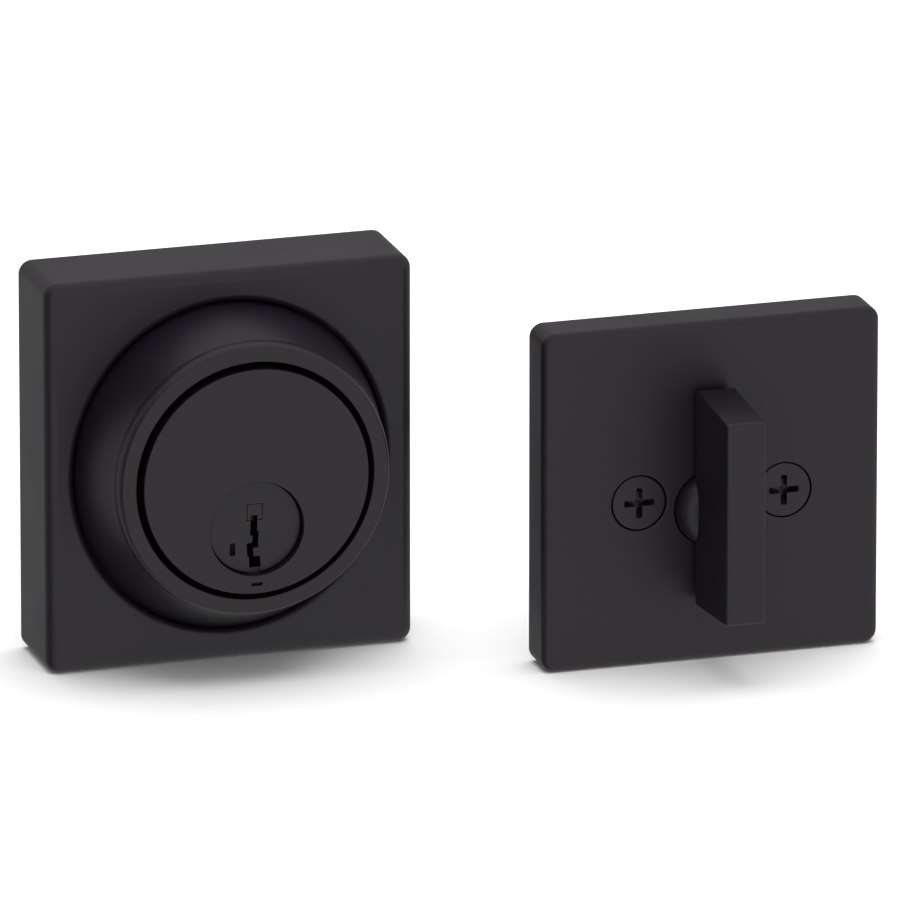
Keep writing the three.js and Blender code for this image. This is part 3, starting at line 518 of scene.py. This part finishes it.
combined(plug_piece, box_piece(
    "cover_pocket",
    (cover_low.x - SEAT / 2, cover_low.y - SEAT / 2, cover_low.z - 0.5 * MM),
    (cover_high.x + SEAT / 2, cover_high.y + SEAT / 2, plug_z + plug_radius + MM)))
LUG_ANGLE = 44
LUG_INNER = 2.6 * MM
for middle in (90, 270):
    start, end = middle - LUG_ANGLE / 2, middle + LUG_ANGLE / 2
    outer = circle_arc((plug_x, plug_z), (lug_outer, lug_outer), start, end, 12)
    inner = circle_arc((plug_x, plug_z), (LUG_INNER, LUG_INNER), end, start, 12)
    rings = [[(x, y, z) for x, z in outer + inner] for y in (plug_tail - 0.5 * MM, plug_high.y)]
    combined(plug_piece, lofted("lug", rings), "UNION")
coat_plug = surface("satin black coat on the plug", (0.0073, 0.0048, 0.0085), 0.38, grain=0.003,
                    grain_size=0.2, vary=0.05, edge_highlight_level=0.5)
finished(plug_piece, coat_plug, ["plug"], "plug", 12)

insert = plate("insert_block", rectangle(insert_low.x, insert_high.x, insert_low.z, insert_high.z), 0.12 * MM,
               insert_low.y, insert_high.y, 0.05 * MM, 0.0, 3)
left, right, top, bottom = KEYWAY_LEGS[0]
combined(insert, box_piece("keyway_notch", (plug_x + left * MM, insert_low.y - MM, plug_z + bottom * MM),
                           (plug_x + right * MM, insert_high.y + MM, plug_z + top * MM)))
finished(insert, coat_plug, ["plug_face_insert"], "plug")


# ---------------------------------------------------------------- interior cover
# The square cover on the inside of the door, thinner than the rose: a zinc casting in the same satin
# black, pierced for the thumbturn's hub and for two countersunk mounting screws.

hub_x, _, hub_z = joints["thumbturn_turn"]["pos_m"]
inner_low, inner_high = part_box("interior_cover")
inner_front = inner_low.y
COVER_CORNER = 2.3 * MM
COVER_EDGE = 1.4 * MM
COVER_WALL = 2.2 * MM
COVER_FACE = 2.4 * MM
HUB_RADIUS = 6.3 * MM
HOLE_LIP = 0.2 * MM
SCREW_HEAD = 4.6 * MM
HEAD_GAP = 0.15 * MM
SHANK = 2.4 * MM
RIM = 0.5 * MM
CONE = 2.3 * MM
inner_cover = casting("cover_casting", inner_low, inner_high,
                      COVER_CORNER, COVER_EDGE, COVER_WALL, COVER_FACE)
hub_hole = HUB_RADIUS + SEAT
hub_cutter = turned(
    "hub_hole",
    [(0, inner_front + COVER_FACE + MM), (0, inner_front - MM), (hub_hole + HOLE_LIP, inner_front - MM)]
    + circle_arc((hub_hole + HOLE_LIP, inner_front + HOLE_LIP), (HOLE_LIP, HOLE_LIP), 270, 180, 5)
    + [(hub_hole, inner_front + COVER_FACE + MM)],
    hub_x, hub_z, 96)
combined(inner_cover, hub_cutter)


def screw_hole(x, z, back):
    """The countersunk hole of a mounting screw, with a softened mouth."""
    wide = SCREW_HEAD + HEAD_GAP
    narrow = SHANK + HEAD_GAP
    rim = inner_front + RIM + HEAD_GAP
    return turned(
        "screw_hole",
        [(0, back), (0, inner_front - MM), (wide + HOLE_LIP, inner_front - MM)]
        + circle_arc((wide + HOLE_LIP, inner_front + HOLE_LIP), (HOLE_LIP, HOLE_LIP), 270, 180, 5)
        + [(wide, rim), (narrow, rim + CONE), (narrow, back)],
        x, z, 96)


screw_places = []
for hand in ("left", "right"):
    screw_low, screw_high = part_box("mounting_screw_" + hand)
    screw_places.append(((screw_low.x + screw_high.x) / 2, (screw_low.z + screw_high.z) / 2))
for x, z in screw_places:
    combined(inner_cover, screw_hole(x, z, inner_front + COVER_FACE + MM))
finished(inner_cover, coat_black, ["interior_cover"], "root")


# ---------------------------------------------------------------- thumbturn
# The blade that a hand turns from inside: a solid zinc casting, blade, domed hub and spindle in one,
# with softened edges. Its slotted spindle takes the torque blade.

BLADE_THICKNESS = 6.7 * MM
BLADE_GAP = 1.6 * MM
BLADE_EDGE = 0.4 * MM
BLADE_CORNER = 0.7 * MM
turn_low, turn_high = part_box("thumbturn")
blade_back = inner_front - BLADE_GAP
# The blade's side view: y and height above the hub's axis, from the front foot round to the front top.
blade_side = [(turn_low.y, hub_z - 14.7 * MM), (blade_back, turn_low.z), (blade_back, turn_high.z),
              (turn_low.y, hub_z + 19.8 * MM)]
levels = []
EDGE_STEPS = 8
for i in range(EDGE_STEPS + 1):
    angle = 0.5 * math.pi * i / EDGE_STEPS
    levels.append((BLADE_EDGE * (1 - math.sin(angle)),
                   BLADE_EDGE * (1 - math.cos(angle)) - BLADE_THICKNESS / 2))
levels += [(inset, -x) for inset, x in reversed(levels)]
thumbturn = lofted("thumbturn_casting", [
    [(hub_x + x, p.x, p.y) for p in softened(blade_side, BLADE_CORNER, inset)] for inset, x in levels])
SHOULDER = COVER_FACE - SEAT / 2
HUB_RIM = 0.6 * MM
HUB_DOME = 1.8 * MM
HUB_CROWN = 3.0 * MM
SPINDLE = 5.0 * MM
HUB_NECK = 4.1 * MM
hub_clip_low, hub_clip_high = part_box("thumbturn_clip")
stem = turned(
    "stem",
    [(0, turn_high.y), (0, inner_front - BLADE_GAP - HUB_DOME)]
    + circle_arc((HUB_CROWN, inner_front - HUB_RIM), (HUB_RADIUS - HUB_CROWN, BLADE_GAP + HUB_DOME - HUB_RIM),
                 270, 360, 20)
    + [(HUB_RADIUS, inner_front + SHOULDER), (SPINDLE, inner_front + SHOULDER),
       (SPINDLE, hub_clip_low.y - SEAT / 2), (HUB_NECK, hub_clip_low.y - SEAT / 2),
       (HUB_NECK, hub_clip_high.y + SEAT / 2), (SPINDLE, hub_clip_high.y + SEAT / 2),
       (SPINDLE, turn_high.y - 0.4 * MM), (SPINDLE - 0.4 * MM, turn_high.y)],
    hub_x, hub_z, 96)
combined(thumbturn, stem, "UNION")
BLADE_BAR = 3.1 * MM
BLADE_FLAT = 0.3 * MM
SLOT_DEEP = 12.0 * MM


def half_round(name, radius, flat, x, z, front, back, steps=40):
    """A round bar along Y, cut flat a little above its axis."""
    rise = math.degrees(math.asin(flat / radius))
    section = circle_arc((x, z), (radius, radius), 180 - rise, 360 + rise, steps)
    return lofted(name, [[(px, y, pz) for px, pz in section] for y in (front, back)])


combined(thumbturn, half_round("spindle_slot", BLADE_BAR + LOOSE / 2, BLADE_FLAT + LOOSE / 2, hub_x, hub_z,
                               turn_high.y - SLOT_DEEP, turn_high.y + MM))
# The thumbturn's coat has a stronger painted edge highlight than the covers' coat.
coat_turn = surface("satin black powder coat, stronger painted edge highlight", (0.0076, 0.0050, 0.0089), 0.40, grain=0.004,
                    grain_size=0.28, vary=0.05, edge_highlight_level=0.5)
finished(thumbturn, coat_turn, ["thumbturn"], "thumbturn")


# ---------------------------------------------------------------- mounting screws
# Two long machine screws with cross-recessed countersunk heads, steel with a black oxide finish. They
# pass through the door into the exterior half's posts. Their threads are rolled.

THREAD_PITCH = 0.8 * MM
THREAD_DEPTH = 0.42 * MM
THREADED = 30.0 * MM
CROSS_SPAN = 5.2 * MM
CROSS_ARM = 1.1 * MM
CROSS_DEPTH = 2.0 * MM


def tree_with(name, sizes):
    """An empty geometry node tree with a geometry input, named sizes, a material and one output."""
    tree = bpy.data.node_groups.new(name, "GeometryNodeTree")
    tree.interface.new_socket("Geometry", in_out="INPUT", socket_type="NodeSocketGeometry")
    for label in sizes:
        tree.interface.new_socket(label, in_out="INPUT", socket_type="NodeSocketFloat")
    tree.interface.new_socket("Finish", in_out="INPUT", socket_type="NodeSocketMaterial")
    tree.interface.new_socket("Geometry", in_out="OUTPUT", socket_type="NodeSocketGeometry")
    return tree, tree.nodes.new("NodeGroupInput"), tree.nodes.new("NodeGroupOutput")


def closing(tree, shape, entry, leave):
    """The last two nodes of each tree: instances made real, and the finish set."""
    real = tree.nodes.new("GeometryNodeRealizeInstances")
    paint = tree.nodes.new("GeometryNodeSetMaterial")
    tree.links.new(shape, real.inputs[0])
    tree.links.new(real.outputs[0], paint.inputs["Geometry"])
    tree.links.new(entry.outputs["Finish"], paint.inputs["Material"])
    tree.links.new(paint.outputs[0], leave.inputs["Geometry"])


def grown(piece, tree, values):
    """The piece shaped by a tree, with the tree's inputs set by their identifiers."""
    step = piece.modifiers.new(tree.name, "NODES")
    step.node_group = tree
    for item in tree.interface.items_tree:
        if item.in_out == "INPUT" and item.name in values:
            step[item.identifier] = values[item.name]
    return applied(piece)


def sums(tree):
    """A function that adds one Math node to a tree and gives its result."""
    def work(operation, *terms):
        made = tree.nodes.new("ShaderNodeMath")
        made.operation = operation
        for socket, term in zip(made.inputs, terms):
            if isinstance(term, (int, float)):
                socket.default_value = term
            else:
                tree.links.new(term, socket)
        return made.outputs[0]
    return work


thread_tree, thread_in, thread_out = tree_with(
    "rolled thread", ["Axis X", "Axis Z", "Start", "End", "Radius", "Pitch", "Depth"])
work = sums(thread_tree)
size = thread_in.outputs
position = thread_tree.nodes.new("GeometryNodeInputPosition")
parts = thread_tree.nodes.new("ShaderNodeSeparateXYZ")
thread_tree.links.new(position.outputs[0], parts.inputs[0])
out_x = work("SUBTRACT", parts.outputs["X"], size["Axis X"])
out_z = work("SUBTRACT", parts.outputs["Z"], size["Axis Z"])
reach = work("SQRT", work("ADD", work("MULTIPLY", out_x, out_x), work("MULTIPLY", out_z, out_z)))
turns = work("DIVIDE", work("ARCTAN2", out_z, out_x), 2 * math.pi)
phase = work("FRACT", work("ADD", work("DIVIDE", parts.outputs["Y"], size["Pitch"]), turns))
flank = work("ABSOLUTE", work("SUBTRACT", work("MULTIPLY", phase, 2.0), 1.0))
flank = work("MINIMUM", work("MAXIMUM", work("DIVIDE", work("SUBTRACT", flank, 0.12), 0.7), 0.0), 1.0)
into = work("DIVIDE", work("SUBTRACT", parts.outputs["Y"], size["Start"]), size["Pitch"])
left_over = work("DIVIDE", work("SUBTRACT", size["End"], parts.outputs["Y"]), size["Pitch"])
fade = work("MINIMUM", work("MAXIMUM", work("MINIMUM", into, left_over), 0.0), 1.0)
on_skin = work("GREATER_THAN", reach, work("SUBTRACT", size["Radius"], 0.02 * MM))
sink = work("MULTIPLY", work("MULTIPLY", work("MULTIPLY", flank, size["Depth"]), fade), on_skin)
shrink = work("DIVIDE", work("SUBTRACT", reach, sink), work("MAXIMUM", reach, 1e-6))
joined = thread_tree.nodes.new("ShaderNodeCombineXYZ")
thread_tree.links.new(work("ADD", work("MULTIPLY", out_x, shrink), size["Axis X"]), joined.inputs["X"])
thread_tree.links.new(parts.outputs["Y"], joined.inputs["Y"])
thread_tree.links.new(work("ADD", work("MULTIPLY", out_z, shrink), size["Axis Z"]), joined.inputs["Z"])
rolled = thread_tree.nodes.new("GeometryNodeSetPosition")
thread_tree.links.new(size["Geometry"], rolled.inputs["Geometry"])
thread_tree.links.new(joined.outputs[0], rolled.inputs["Position"])
closing(thread_tree, rolled.outputs[0], thread_in, thread_out)

black_oxide = surface("black oxide on steel", (0.0080, 0.0052, 0.0094), 0.36, grain=0.004,
                      grain_size=0.15, vary=0.06, edge_highlight_level=0.6)


def cross_arm(x, z, front, upright):
    """One bar of the cross recess. It narrows and rounds as it goes in."""
    rings = []
    for depth, share in ((-0.2, 1.0), (0.0, 1.0), (0.9, 0.82), (1.8, 0.55)):
        long_half = CROSS_SPAN / 2 * share
        wide_half = CROSS_ARM / 2 * (0.75 + 0.25 * share)
        spans = (wide_half, long_half) if upright else (long_half, wide_half)
        outline = softened(rectangle(-spans[0], spans[0], -spans[1], spans[1]), 0.3 * MM, 0.0, 5)
        rings.append([(x + p.x, front + depth * MM, z + p.y) for p in outline])
    return lofted("cross_arm", rings)


for hand, (x, z) in zip(("left", "right"), screw_places):
    node = "mounting_screw_" + hand
    screw_low, screw_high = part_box(node)
    front = screw_low.y
    start = screw_high.y - THREADED
    steps = int(THREADED / THREAD_PITCH * 8)
    shank = [(SHANK, front + RIM + CONE), (SHANK, start)]
    shank += [(SHANK, start + (THREADED - MM) * (i + 1) / steps) for i in range(steps)]
    blank = turned(
        node + "_rolled",
        [(0, screw_high.y), (0, front), (SCREW_HEAD - 0.35 * MM, front)]
        + circle_arc((SCREW_HEAD - 0.35 * MM, front + 0.25 * MM), (0.35 * MM, 0.25 * MM), 270, 360, 5)[1:]
        + [(SCREW_HEAD, front + RIM - 0.02 * MM)] + shank + [(SHANK - 0.5 * MM, screw_high.y)],
        x, z, 64)
    grown(blank, thread_tree, {
        "Axis X": x, "Axis Z": z, "Start": start, "End": screw_high.y - 0.2 * MM, "Radius": SHANK,
        "Pitch": THREAD_PITCH, "Depth": THREAD_DEPTH, "Finish": black_oxide})
    combined(blank, cross_arm(x, z, front, True))
    combined(blank, cross_arm(x, z, front, False))
    combined(blank, turned("cross_core", [(0, front - 0.2 * MM), (0.9 * MM, front - 0.2 * MM),
                                          (0.2 * MM, front + CROSS_DEPTH), (0, front + CROSS_DEPTH)], x, z, 24))
    finished(blank, black_oxide, [node], "root", 40)


# ---------------------------------------------------------------- plates behind the covers
# Two stamped steel plates, zinc plated. One backs the rose and is clamped to the cylinder by the posts;
# the other stiffens the interior cover and carries the thumbturn's spindle.

plated = surface("zinc plate on stamped steel", (0.50, 0.50, 0.51), 0.34, metallic=1.0, grain=0.006,
                 grain_size=0.8, vary=0.08, edge_highlight_level=0.3)
PLATE_EDGE = 0.3 * MM
backing_low, backing_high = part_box("backing_plate")
backing = plate("backing_stamping", rectangle(backing_low.x, backing_high.x, backing_low.z, backing_high.z),
                2.0 * MM, backing_low.y, backing_high.y, PLATE_EDGE, PLATE_EDGE, 4)
combined(backing, turned("blade_hole", [(0, backing_low.y - MM), (4.4 * MM, backing_low.y - MM),
                                        (4.4 * MM, backing_high.y + MM), (0, backing_high.y + MM)],
                         plug_x, plug_z, 64))
post_places = {}
for hand in ("left", "right"):
    post_low, post_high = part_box("mounting_post_" + hand)
    post_places[hand] = ((post_low.x + post_high.x) / 2, (post_low.z + post_high.z) / 2)
    combined(backing, turned("post_hole", [(0, backing_low.y - MM), (2.95 * MM, backing_low.y - MM),
                                           (2.95 * MM, backing_high.y + MM), (0, backing_high.y + MM)],
                             *post_places[hand], 64))
finished(backing, plated, ["backing_plate"], "root")

stiff_low, stiff_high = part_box("stiffener_plate")
stiffener = plate("stiffener_stamping", rectangle(stiff_low.x, stiff_high.x, stiff_low.z, stiff_high.z),
                  1.5 * MM, stiff_low.y, stiff_high.y, PLATE_EDGE, PLATE_EDGE, 4)
combined(stiffener, turned("spindle_hole", [(0, stiff_low.y - MM), (SPINDLE + RUNNING, stiff_low.y - MM),
                                            (SPINDLE + RUNNING, stiff_high.y + MM), (0, stiff_high.y + MM)],
                           hub_x, hub_z, 64))
for x, z in screw_places:
    combined(stiffener, screw_hole(x, z, stiff_high.y + MM))
finished(stiffener, plated, ["stiffener_plate"], "root")


# ---------------------------------------------------------------- posts and torque blade
# Two zinc posts with a flange reach through the door to the long screws, which go into their bores; the
# bores are left plain. The half-round torque blade between them is cold drawn steel and turns the bolt.

bare_zinc = surface("bare zinc die casting", (0.36, 0.37, 0.38), 0.45, metallic=0.9, grain=0.02, grain_size=0.5,
                    vary=0.1, edge_highlight_level=0.3)
POST_RADIUS = 2.9 * MM
POST_CORE = 1.95 * MM
FLANGE_LENGTH = 1.5 * MM
POST_BORE = 18.0 * MM
SOFT = 0.5 * MM
for hand, (x, z) in post_places.items():
    post_low, post_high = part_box("mounting_post_" + hand)
    flange_radius = (post_high.x - post_low.x) / 2
    flange_front = backing_high.y + SEAT / 2
    flange_soft = 0.25 * MM
    steps = int(POST_BORE / THREAD_PITCH * 6)
    bore_floor = post_high.y - POST_BORE
    tapped = [(POST_CORE, post_high.y - POST_BORE * i / steps) for i in range(steps + 1)]
    post = turned(
        "post_" + hand + "_tapped",
        [(0, bore_floor), (0, post_low.y), (POST_RADIUS - SOFT, post_low.y), (POST_RADIUS, post_low.y + SOFT),
         (POST_RADIUS, flange_front), (flange_radius - flange_soft, flange_front),
         (flange_radius, flange_front + flange_soft),
         (flange_radius, flange_front + FLANGE_LENGTH - flange_soft),
         (flange_radius - flange_soft, flange_front + FLANGE_LENGTH),
         (POST_RADIUS, flange_front + FLANGE_LENGTH),
         (POST_RADIUS, post_high.y - SOFT), (POST_RADIUS - SOFT, post_high.y)] + tapped,
        x, z, 64)
    finished(post, bare_zinc, ["mounting_post_" + hand], "root", 40)

drawn_steel = surface("cold drawn steel", (0.46, 0.46, 0.47), 0.30, metallic=1.0, grain=0.01, grain_size=0.4,
                      vary=0.08, edge_highlight_level=0.3, streak=(1.0, 0.04, 1.0))
bar_low, bar_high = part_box("torque_blade")
BAR_POINT = 1.5 * MM
bar = half_round("torque_bar", BLADE_BAR, BLADE_FLAT, plug_x, plug_z, bar_low.y, bar_high.y, 48)
tip = turned("tip", [(0, bar_low.y - MM), (BLADE_BAR + MM, bar_low.y - MM),
                     (BLADE_BAR + MM, bar_high.y - BAR_POINT), (BLADE_BAR + 0.05 * MM, bar_high.y - BAR_POINT),
                     (BLADE_BAR - 0.8 * MM, bar_high.y), (0, bar_high.y)], plug_x, plug_z, 96)
combined(bar, tip, "INTERSECT")
finished(bar, drawn_steel, ["torque_blade"], "tail")


# ---------------------------------------------------------------- clips, snap ring and wave washer
# Spring steel pieces that hold the turning parts in: the collar's snap ring, the E-clips on the plug and
# the thumbturn, and the wave washer that gives the thumbturn its drag.

spring_steel = surface("spring steel", (0.42, 0.42, 0.44), 0.28, metallic=1.0, grain=0.006, grain_size=0.4,
                       vary=0.06, edge_highlight_level=0.3)


def open_ring(name, node, x, z, inner_radius, opening, body):
    """A flat ring with a gap at its foot and softened ends."""
    low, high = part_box(node)
    outer_radius = high.z - z
    start, end = -90 + opening / 2, 270 - opening / 2
    section = circle_arc((x, z), (outer_radius, outer_radius), start, end, 72)
    section += circle_arc((x, z), (inner_radius, inner_radius), end, start, 72)
    soft = 0.12 * MM
    middle = (inner_radius + outer_radius) / 2
    rings = []
    for inset, y in ((soft, low.y), (0.0, low.y + soft), (0.0, high.y - soft), (soft, high.y)):
        share = 1 - 2 * inset / (outer_radius - inner_radius)
        ring = []
        for px, pz in section:
            radius = math.hypot(px - x, pz - z)
            scale = (middle + (radius - middle) * share) / radius
            ring.append((x + (px - x) * scale, y, z + (pz - z) * scale))
        rings.append(ring)
    finished(lofted(name, rings), spring_steel, [node], body)


open_ring("snap_ring_stamping", "collar_snap_ring", plug_x, cylinder_z,
          collar_tube - SNAP_GROOVE + LOOSE, 14, "root")
open_ring("plug_clip_stamping", "plug_clip", plug_x, plug_z, plug_neck + SEAT, 60, "plug")
open_ring("thumbturn_clip_stamping", "thumbturn_clip", hub_x, hub_z, HUB_NECK + SEAT, 70, "thumbturn")


# ---------------------------------------------------------------- springs
# Light coil springs of music wire: five press the key pins down, and two press the sidebar out.

coil_tree, coil_in, coil_out = tree_with("coil spring", ["Radius", "Wire", "Turns", "Length"])
work = sums(coil_tree)
size = coil_in.outputs
wire_line = coil_tree.nodes.new("GeometryNodeCurveSpiral")
wire_line.inputs["Resolution"].default_value = 28
middle_radius = work("SUBTRACT", size["Radius"], size["Wire"])
coil_tree.links.new(size["Turns"], wire_line.inputs["Rotations"])
coil_tree.links.new(middle_radius, wire_line.inputs["Start Radius"])
coil_tree.links.new(middle_radius, wire_line.inputs["End Radius"])
height = work("SUBTRACT", size["Length"], work("MULTIPLY", size["Wire"], 2.0))
coil_tree.links.new(height, wire_line.inputs["Height"])
section = coil_tree.nodes.new("GeometryNodeCurvePrimitiveCircle")
section.inputs["Resolution"].default_value = 10
coil_tree.links.new(size["Wire"], section.inputs["Radius"])
drawn = coil_tree.nodes.new("GeometryNodeCurveToMesh")
drawn.inputs["Fill Caps"].default_value = True
coil_tree.links.new(wire_line.outputs[0], drawn.inputs["Curve"])
coil_tree.links.new(section.outputs[0], drawn.inputs["Profile Curve"])
closing(coil_tree, drawn.outputs[0], coil_in, coil_out)


def spring(node, radius, wire, turns, along):
    """A coil in the place of a CAD spring, along Z or along X."""
    low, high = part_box(node)
    length = high.z - low.z if along == "Z" else high.x - low.x
    coil = new_piece(node + "_wire", [(0, 0, 0)], [])
    grown(coil, coil_tree, {
        "Radius": radius, "Wire": wire, "Turns": turns, "Length": length, "Finish": spring_steel})
    middle = (low + high) / 2
    if along == "Z":
        base = Vector((middle.x, middle.y, low.z + wire))
        turn = Matrix.Identity(4)
    else:
        base = Vector((high.x - wire, middle.y, middle.z))
        turn = Matrix.Rotation(math.radians(-90), 4, "Y")
    coil.data.transform(Matrix.Translation(base) @ turn)
    finished(coil, spring_steel, [node], "plug", 60)
    return coil, low, high


for index in range(1, TUMBLERS + 1):
    coil, low, high = spring(f"pin_spring_{index}", 0.95 * MM, 0.16 * MM, 4.0, "Z")
    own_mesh(coil)
for index in (1, 2):
    spring(f"sidebar_spring_{index}", 0.62 * MM, 0.14 * MM, 3.0, "X")


# ---------------------------------------------------------------- locking pieces inside the plug
# Brass key pins and racks, the zinc carriage that guides the racks, the hardened sidebar and guard pins,
# the brass spring cover, the steel driver and the wave washer keep their CAD shapes.

brass = surface("machined brass", (0.62, 0.42, 0.15), 0.30, metallic=1.0, grain=0.006,
                grain_size=0.2, vary=0.08, edge_highlight_level=0.3)
hard_steel = surface("ground hardened steel", (0.44, 0.43, 0.43), 0.26, metallic=1.0, grain=0.004,
                     grain_size=0.2, vary=0.06, edge_highlight_level=0.3, streak=(1.0, 0.1, 1.0))
kept = {
    "spring_cover": brass, "rack_carriage": bare_zinc, "sidebar": hard_steel, "tail_driver": plated,
    "drill_guard_pin_left": hard_steel, "drill_guard_pin_right": hard_steel, "wave_washer": spring_steel,
}
for index in range(1, TUMBLERS + 1):
    kept[f"key_pin_{index}"] = brass
    kept[f"rack_{index}"] = brass
for node, material in kept.items():
    piece = frame["nodes"][node]
    piece.data.materials.clear()
    piece.data.materials.append(material)


# ---------------------------------------------------------------- floor, light and camera
# A plain pale floor, a soft surround with one overhead softbox, and a long lens from the left and above.

floor_material = bpy.data.materials.new("pale paper floor")
floor_material.use_nodes = True
floor_shader = floor_material.node_tree.nodes["Principled BSDF"]
floor_shader.inputs["Base Color"].default_value = (0.95, 0.95, 0.95, 1.0)
floor_shader.inputs["Roughness"].default_value = 0.9
floor_shader.inputs["Specular IOR Level"].default_value = 0.1
FLOOR_SIZE = 6.0
floor_mesh = bpy.data.meshes.new("floor")
floor_corners = rectangle(-FLOOR_SIZE, FLOOR_SIZE, -FLOOR_SIZE, FLOOR_SIZE)
floor_mesh.from_pydata([(x, y, 0) for x, y in floor_corners], [], [(0, 1, 2, 3)])
floor = bpy.data.objects.new("floor", floor_mesh)
floor.location.z = -0.02 * MM
floor_mesh.materials.append(floor_material)
bpy.context.scene.collection.objects.link(floor)
floor.visible_glossy = False

# The surround is bright in front, dimmer behind, with one dark panel on the left and a soft top.
world = bpy.data.worlds.new("studio")
bpy.context.scene.world = world
world.use_nodes = True
FRONT_LIGHT = 0.78
BACK_LIGHT = 0.41
PANEL_LIGHT = 0.15
TOP_LIGHT = 0.65
surround = world.node_tree
surround.nodes["Background"].inputs["Color"].default_value = (1.0, 1.0, 1.0, 1.0)
compass = surround.nodes.new("ShaderNodeSeparateXYZ")
surround.links.new(surround.nodes.new("ShaderNodeTexCoord").outputs["Generated"], compass.inputs[0])
light = sums(surround)


def ramp(value, low, high, low_light, high_light):
    """A smooth change of brightness while a direction's value goes from low to high."""
    made = surround.nodes.new("ShaderNodeMapRange")
    made.interpolation_type = "SMOOTHSTEP"
    surround.links.new(value, made.inputs["Value"])
    for label, setting in (("From Min", low), ("From Max", high), ("To Min", low_light), ("To Max", high_light)):
        made.inputs[label].default_value = setting
    return made.outputs["Result"]


def between(start, end, share):
    """A brightness that goes from start to end as share goes from 0 to 1."""
    return light("ADD", start, light("MULTIPLY", light("SUBTRACT", end, start), share))


depth_light = ramp(compass.outputs["Y"], -0.5, 0.6, FRONT_LIGHT, BACK_LIGHT)
bearing = light("ARCTAN2", compass.outputs["X"], light("MULTIPLY", compass.outputs["Y"], -1.0))
PANEL_MIDDLE = math.radians(-80)
off_panel = light("ABSOLUTE", light("SUBTRACT", bearing, PANEL_MIDDLE))
panel = ramp(off_panel, math.radians(22), math.radians(38), 1.0, 0.0)
low_light = between(depth_light, PANEL_LIGHT, panel)
overhead = ramp(compass.outputs["Z"], 0.45, 0.8, 0.0, 1.0)
strength = between(low_light, TOP_LIGHT, overhead)
surround.links.new(strength, surround.nodes["Background"].inputs["Strength"])

SOFTBOX_PLACE = Vector((0.1, 0.1, 1.5))
lamp = bpy.data.lights.new("overhead", "AREA")
lamp.shape = "RECTANGLE"
lamp.size = 1.6
lamp.size_y = 1.6
lamp.energy = 26.0
softbox = bpy.data.objects.new("overhead", lamp)
softbox.location = SOFTBOX_PLACE
softbox.rotation_euler = (-SOFTBOX_PLACE).to_track_quat("-Z", "Y").to_euler()
softbox.visible_glossy = False
bpy.context.scene.collection.objects.link(softbox)

AZIMUTH = math.radians(17.1)
ELEVATION = math.radians(17.28)
DISTANCE = 2.886
AIM = Vector((-1.69, -25.0, 35.6)) * MM
away = Vector((-math.sin(AZIMUTH) * math.cos(ELEVATION), -math.cos(AZIMUTH) * math.cos(ELEVATION),
               math.sin(ELEVATION)))
camera_data = bpy.data.cameras.new("camera")
camera_data.lens = 701.8
camera_data.sensor_width = 36.0
camera_data.clip_start = 0.05
camera_data.clip_end = 50.0
camera = bpy.data.objects.new("camera", camera_data)
camera.location = AIM + away * DISTANCE
camera.rotation_euler = (-away).to_track_quat("-Z", "Y").to_euler()
bpy.context.scene.collection.objects.link(camera)
bpy.context.scene.camera = camera
bpy.context.scene.view_settings.view_transform = "Standard"
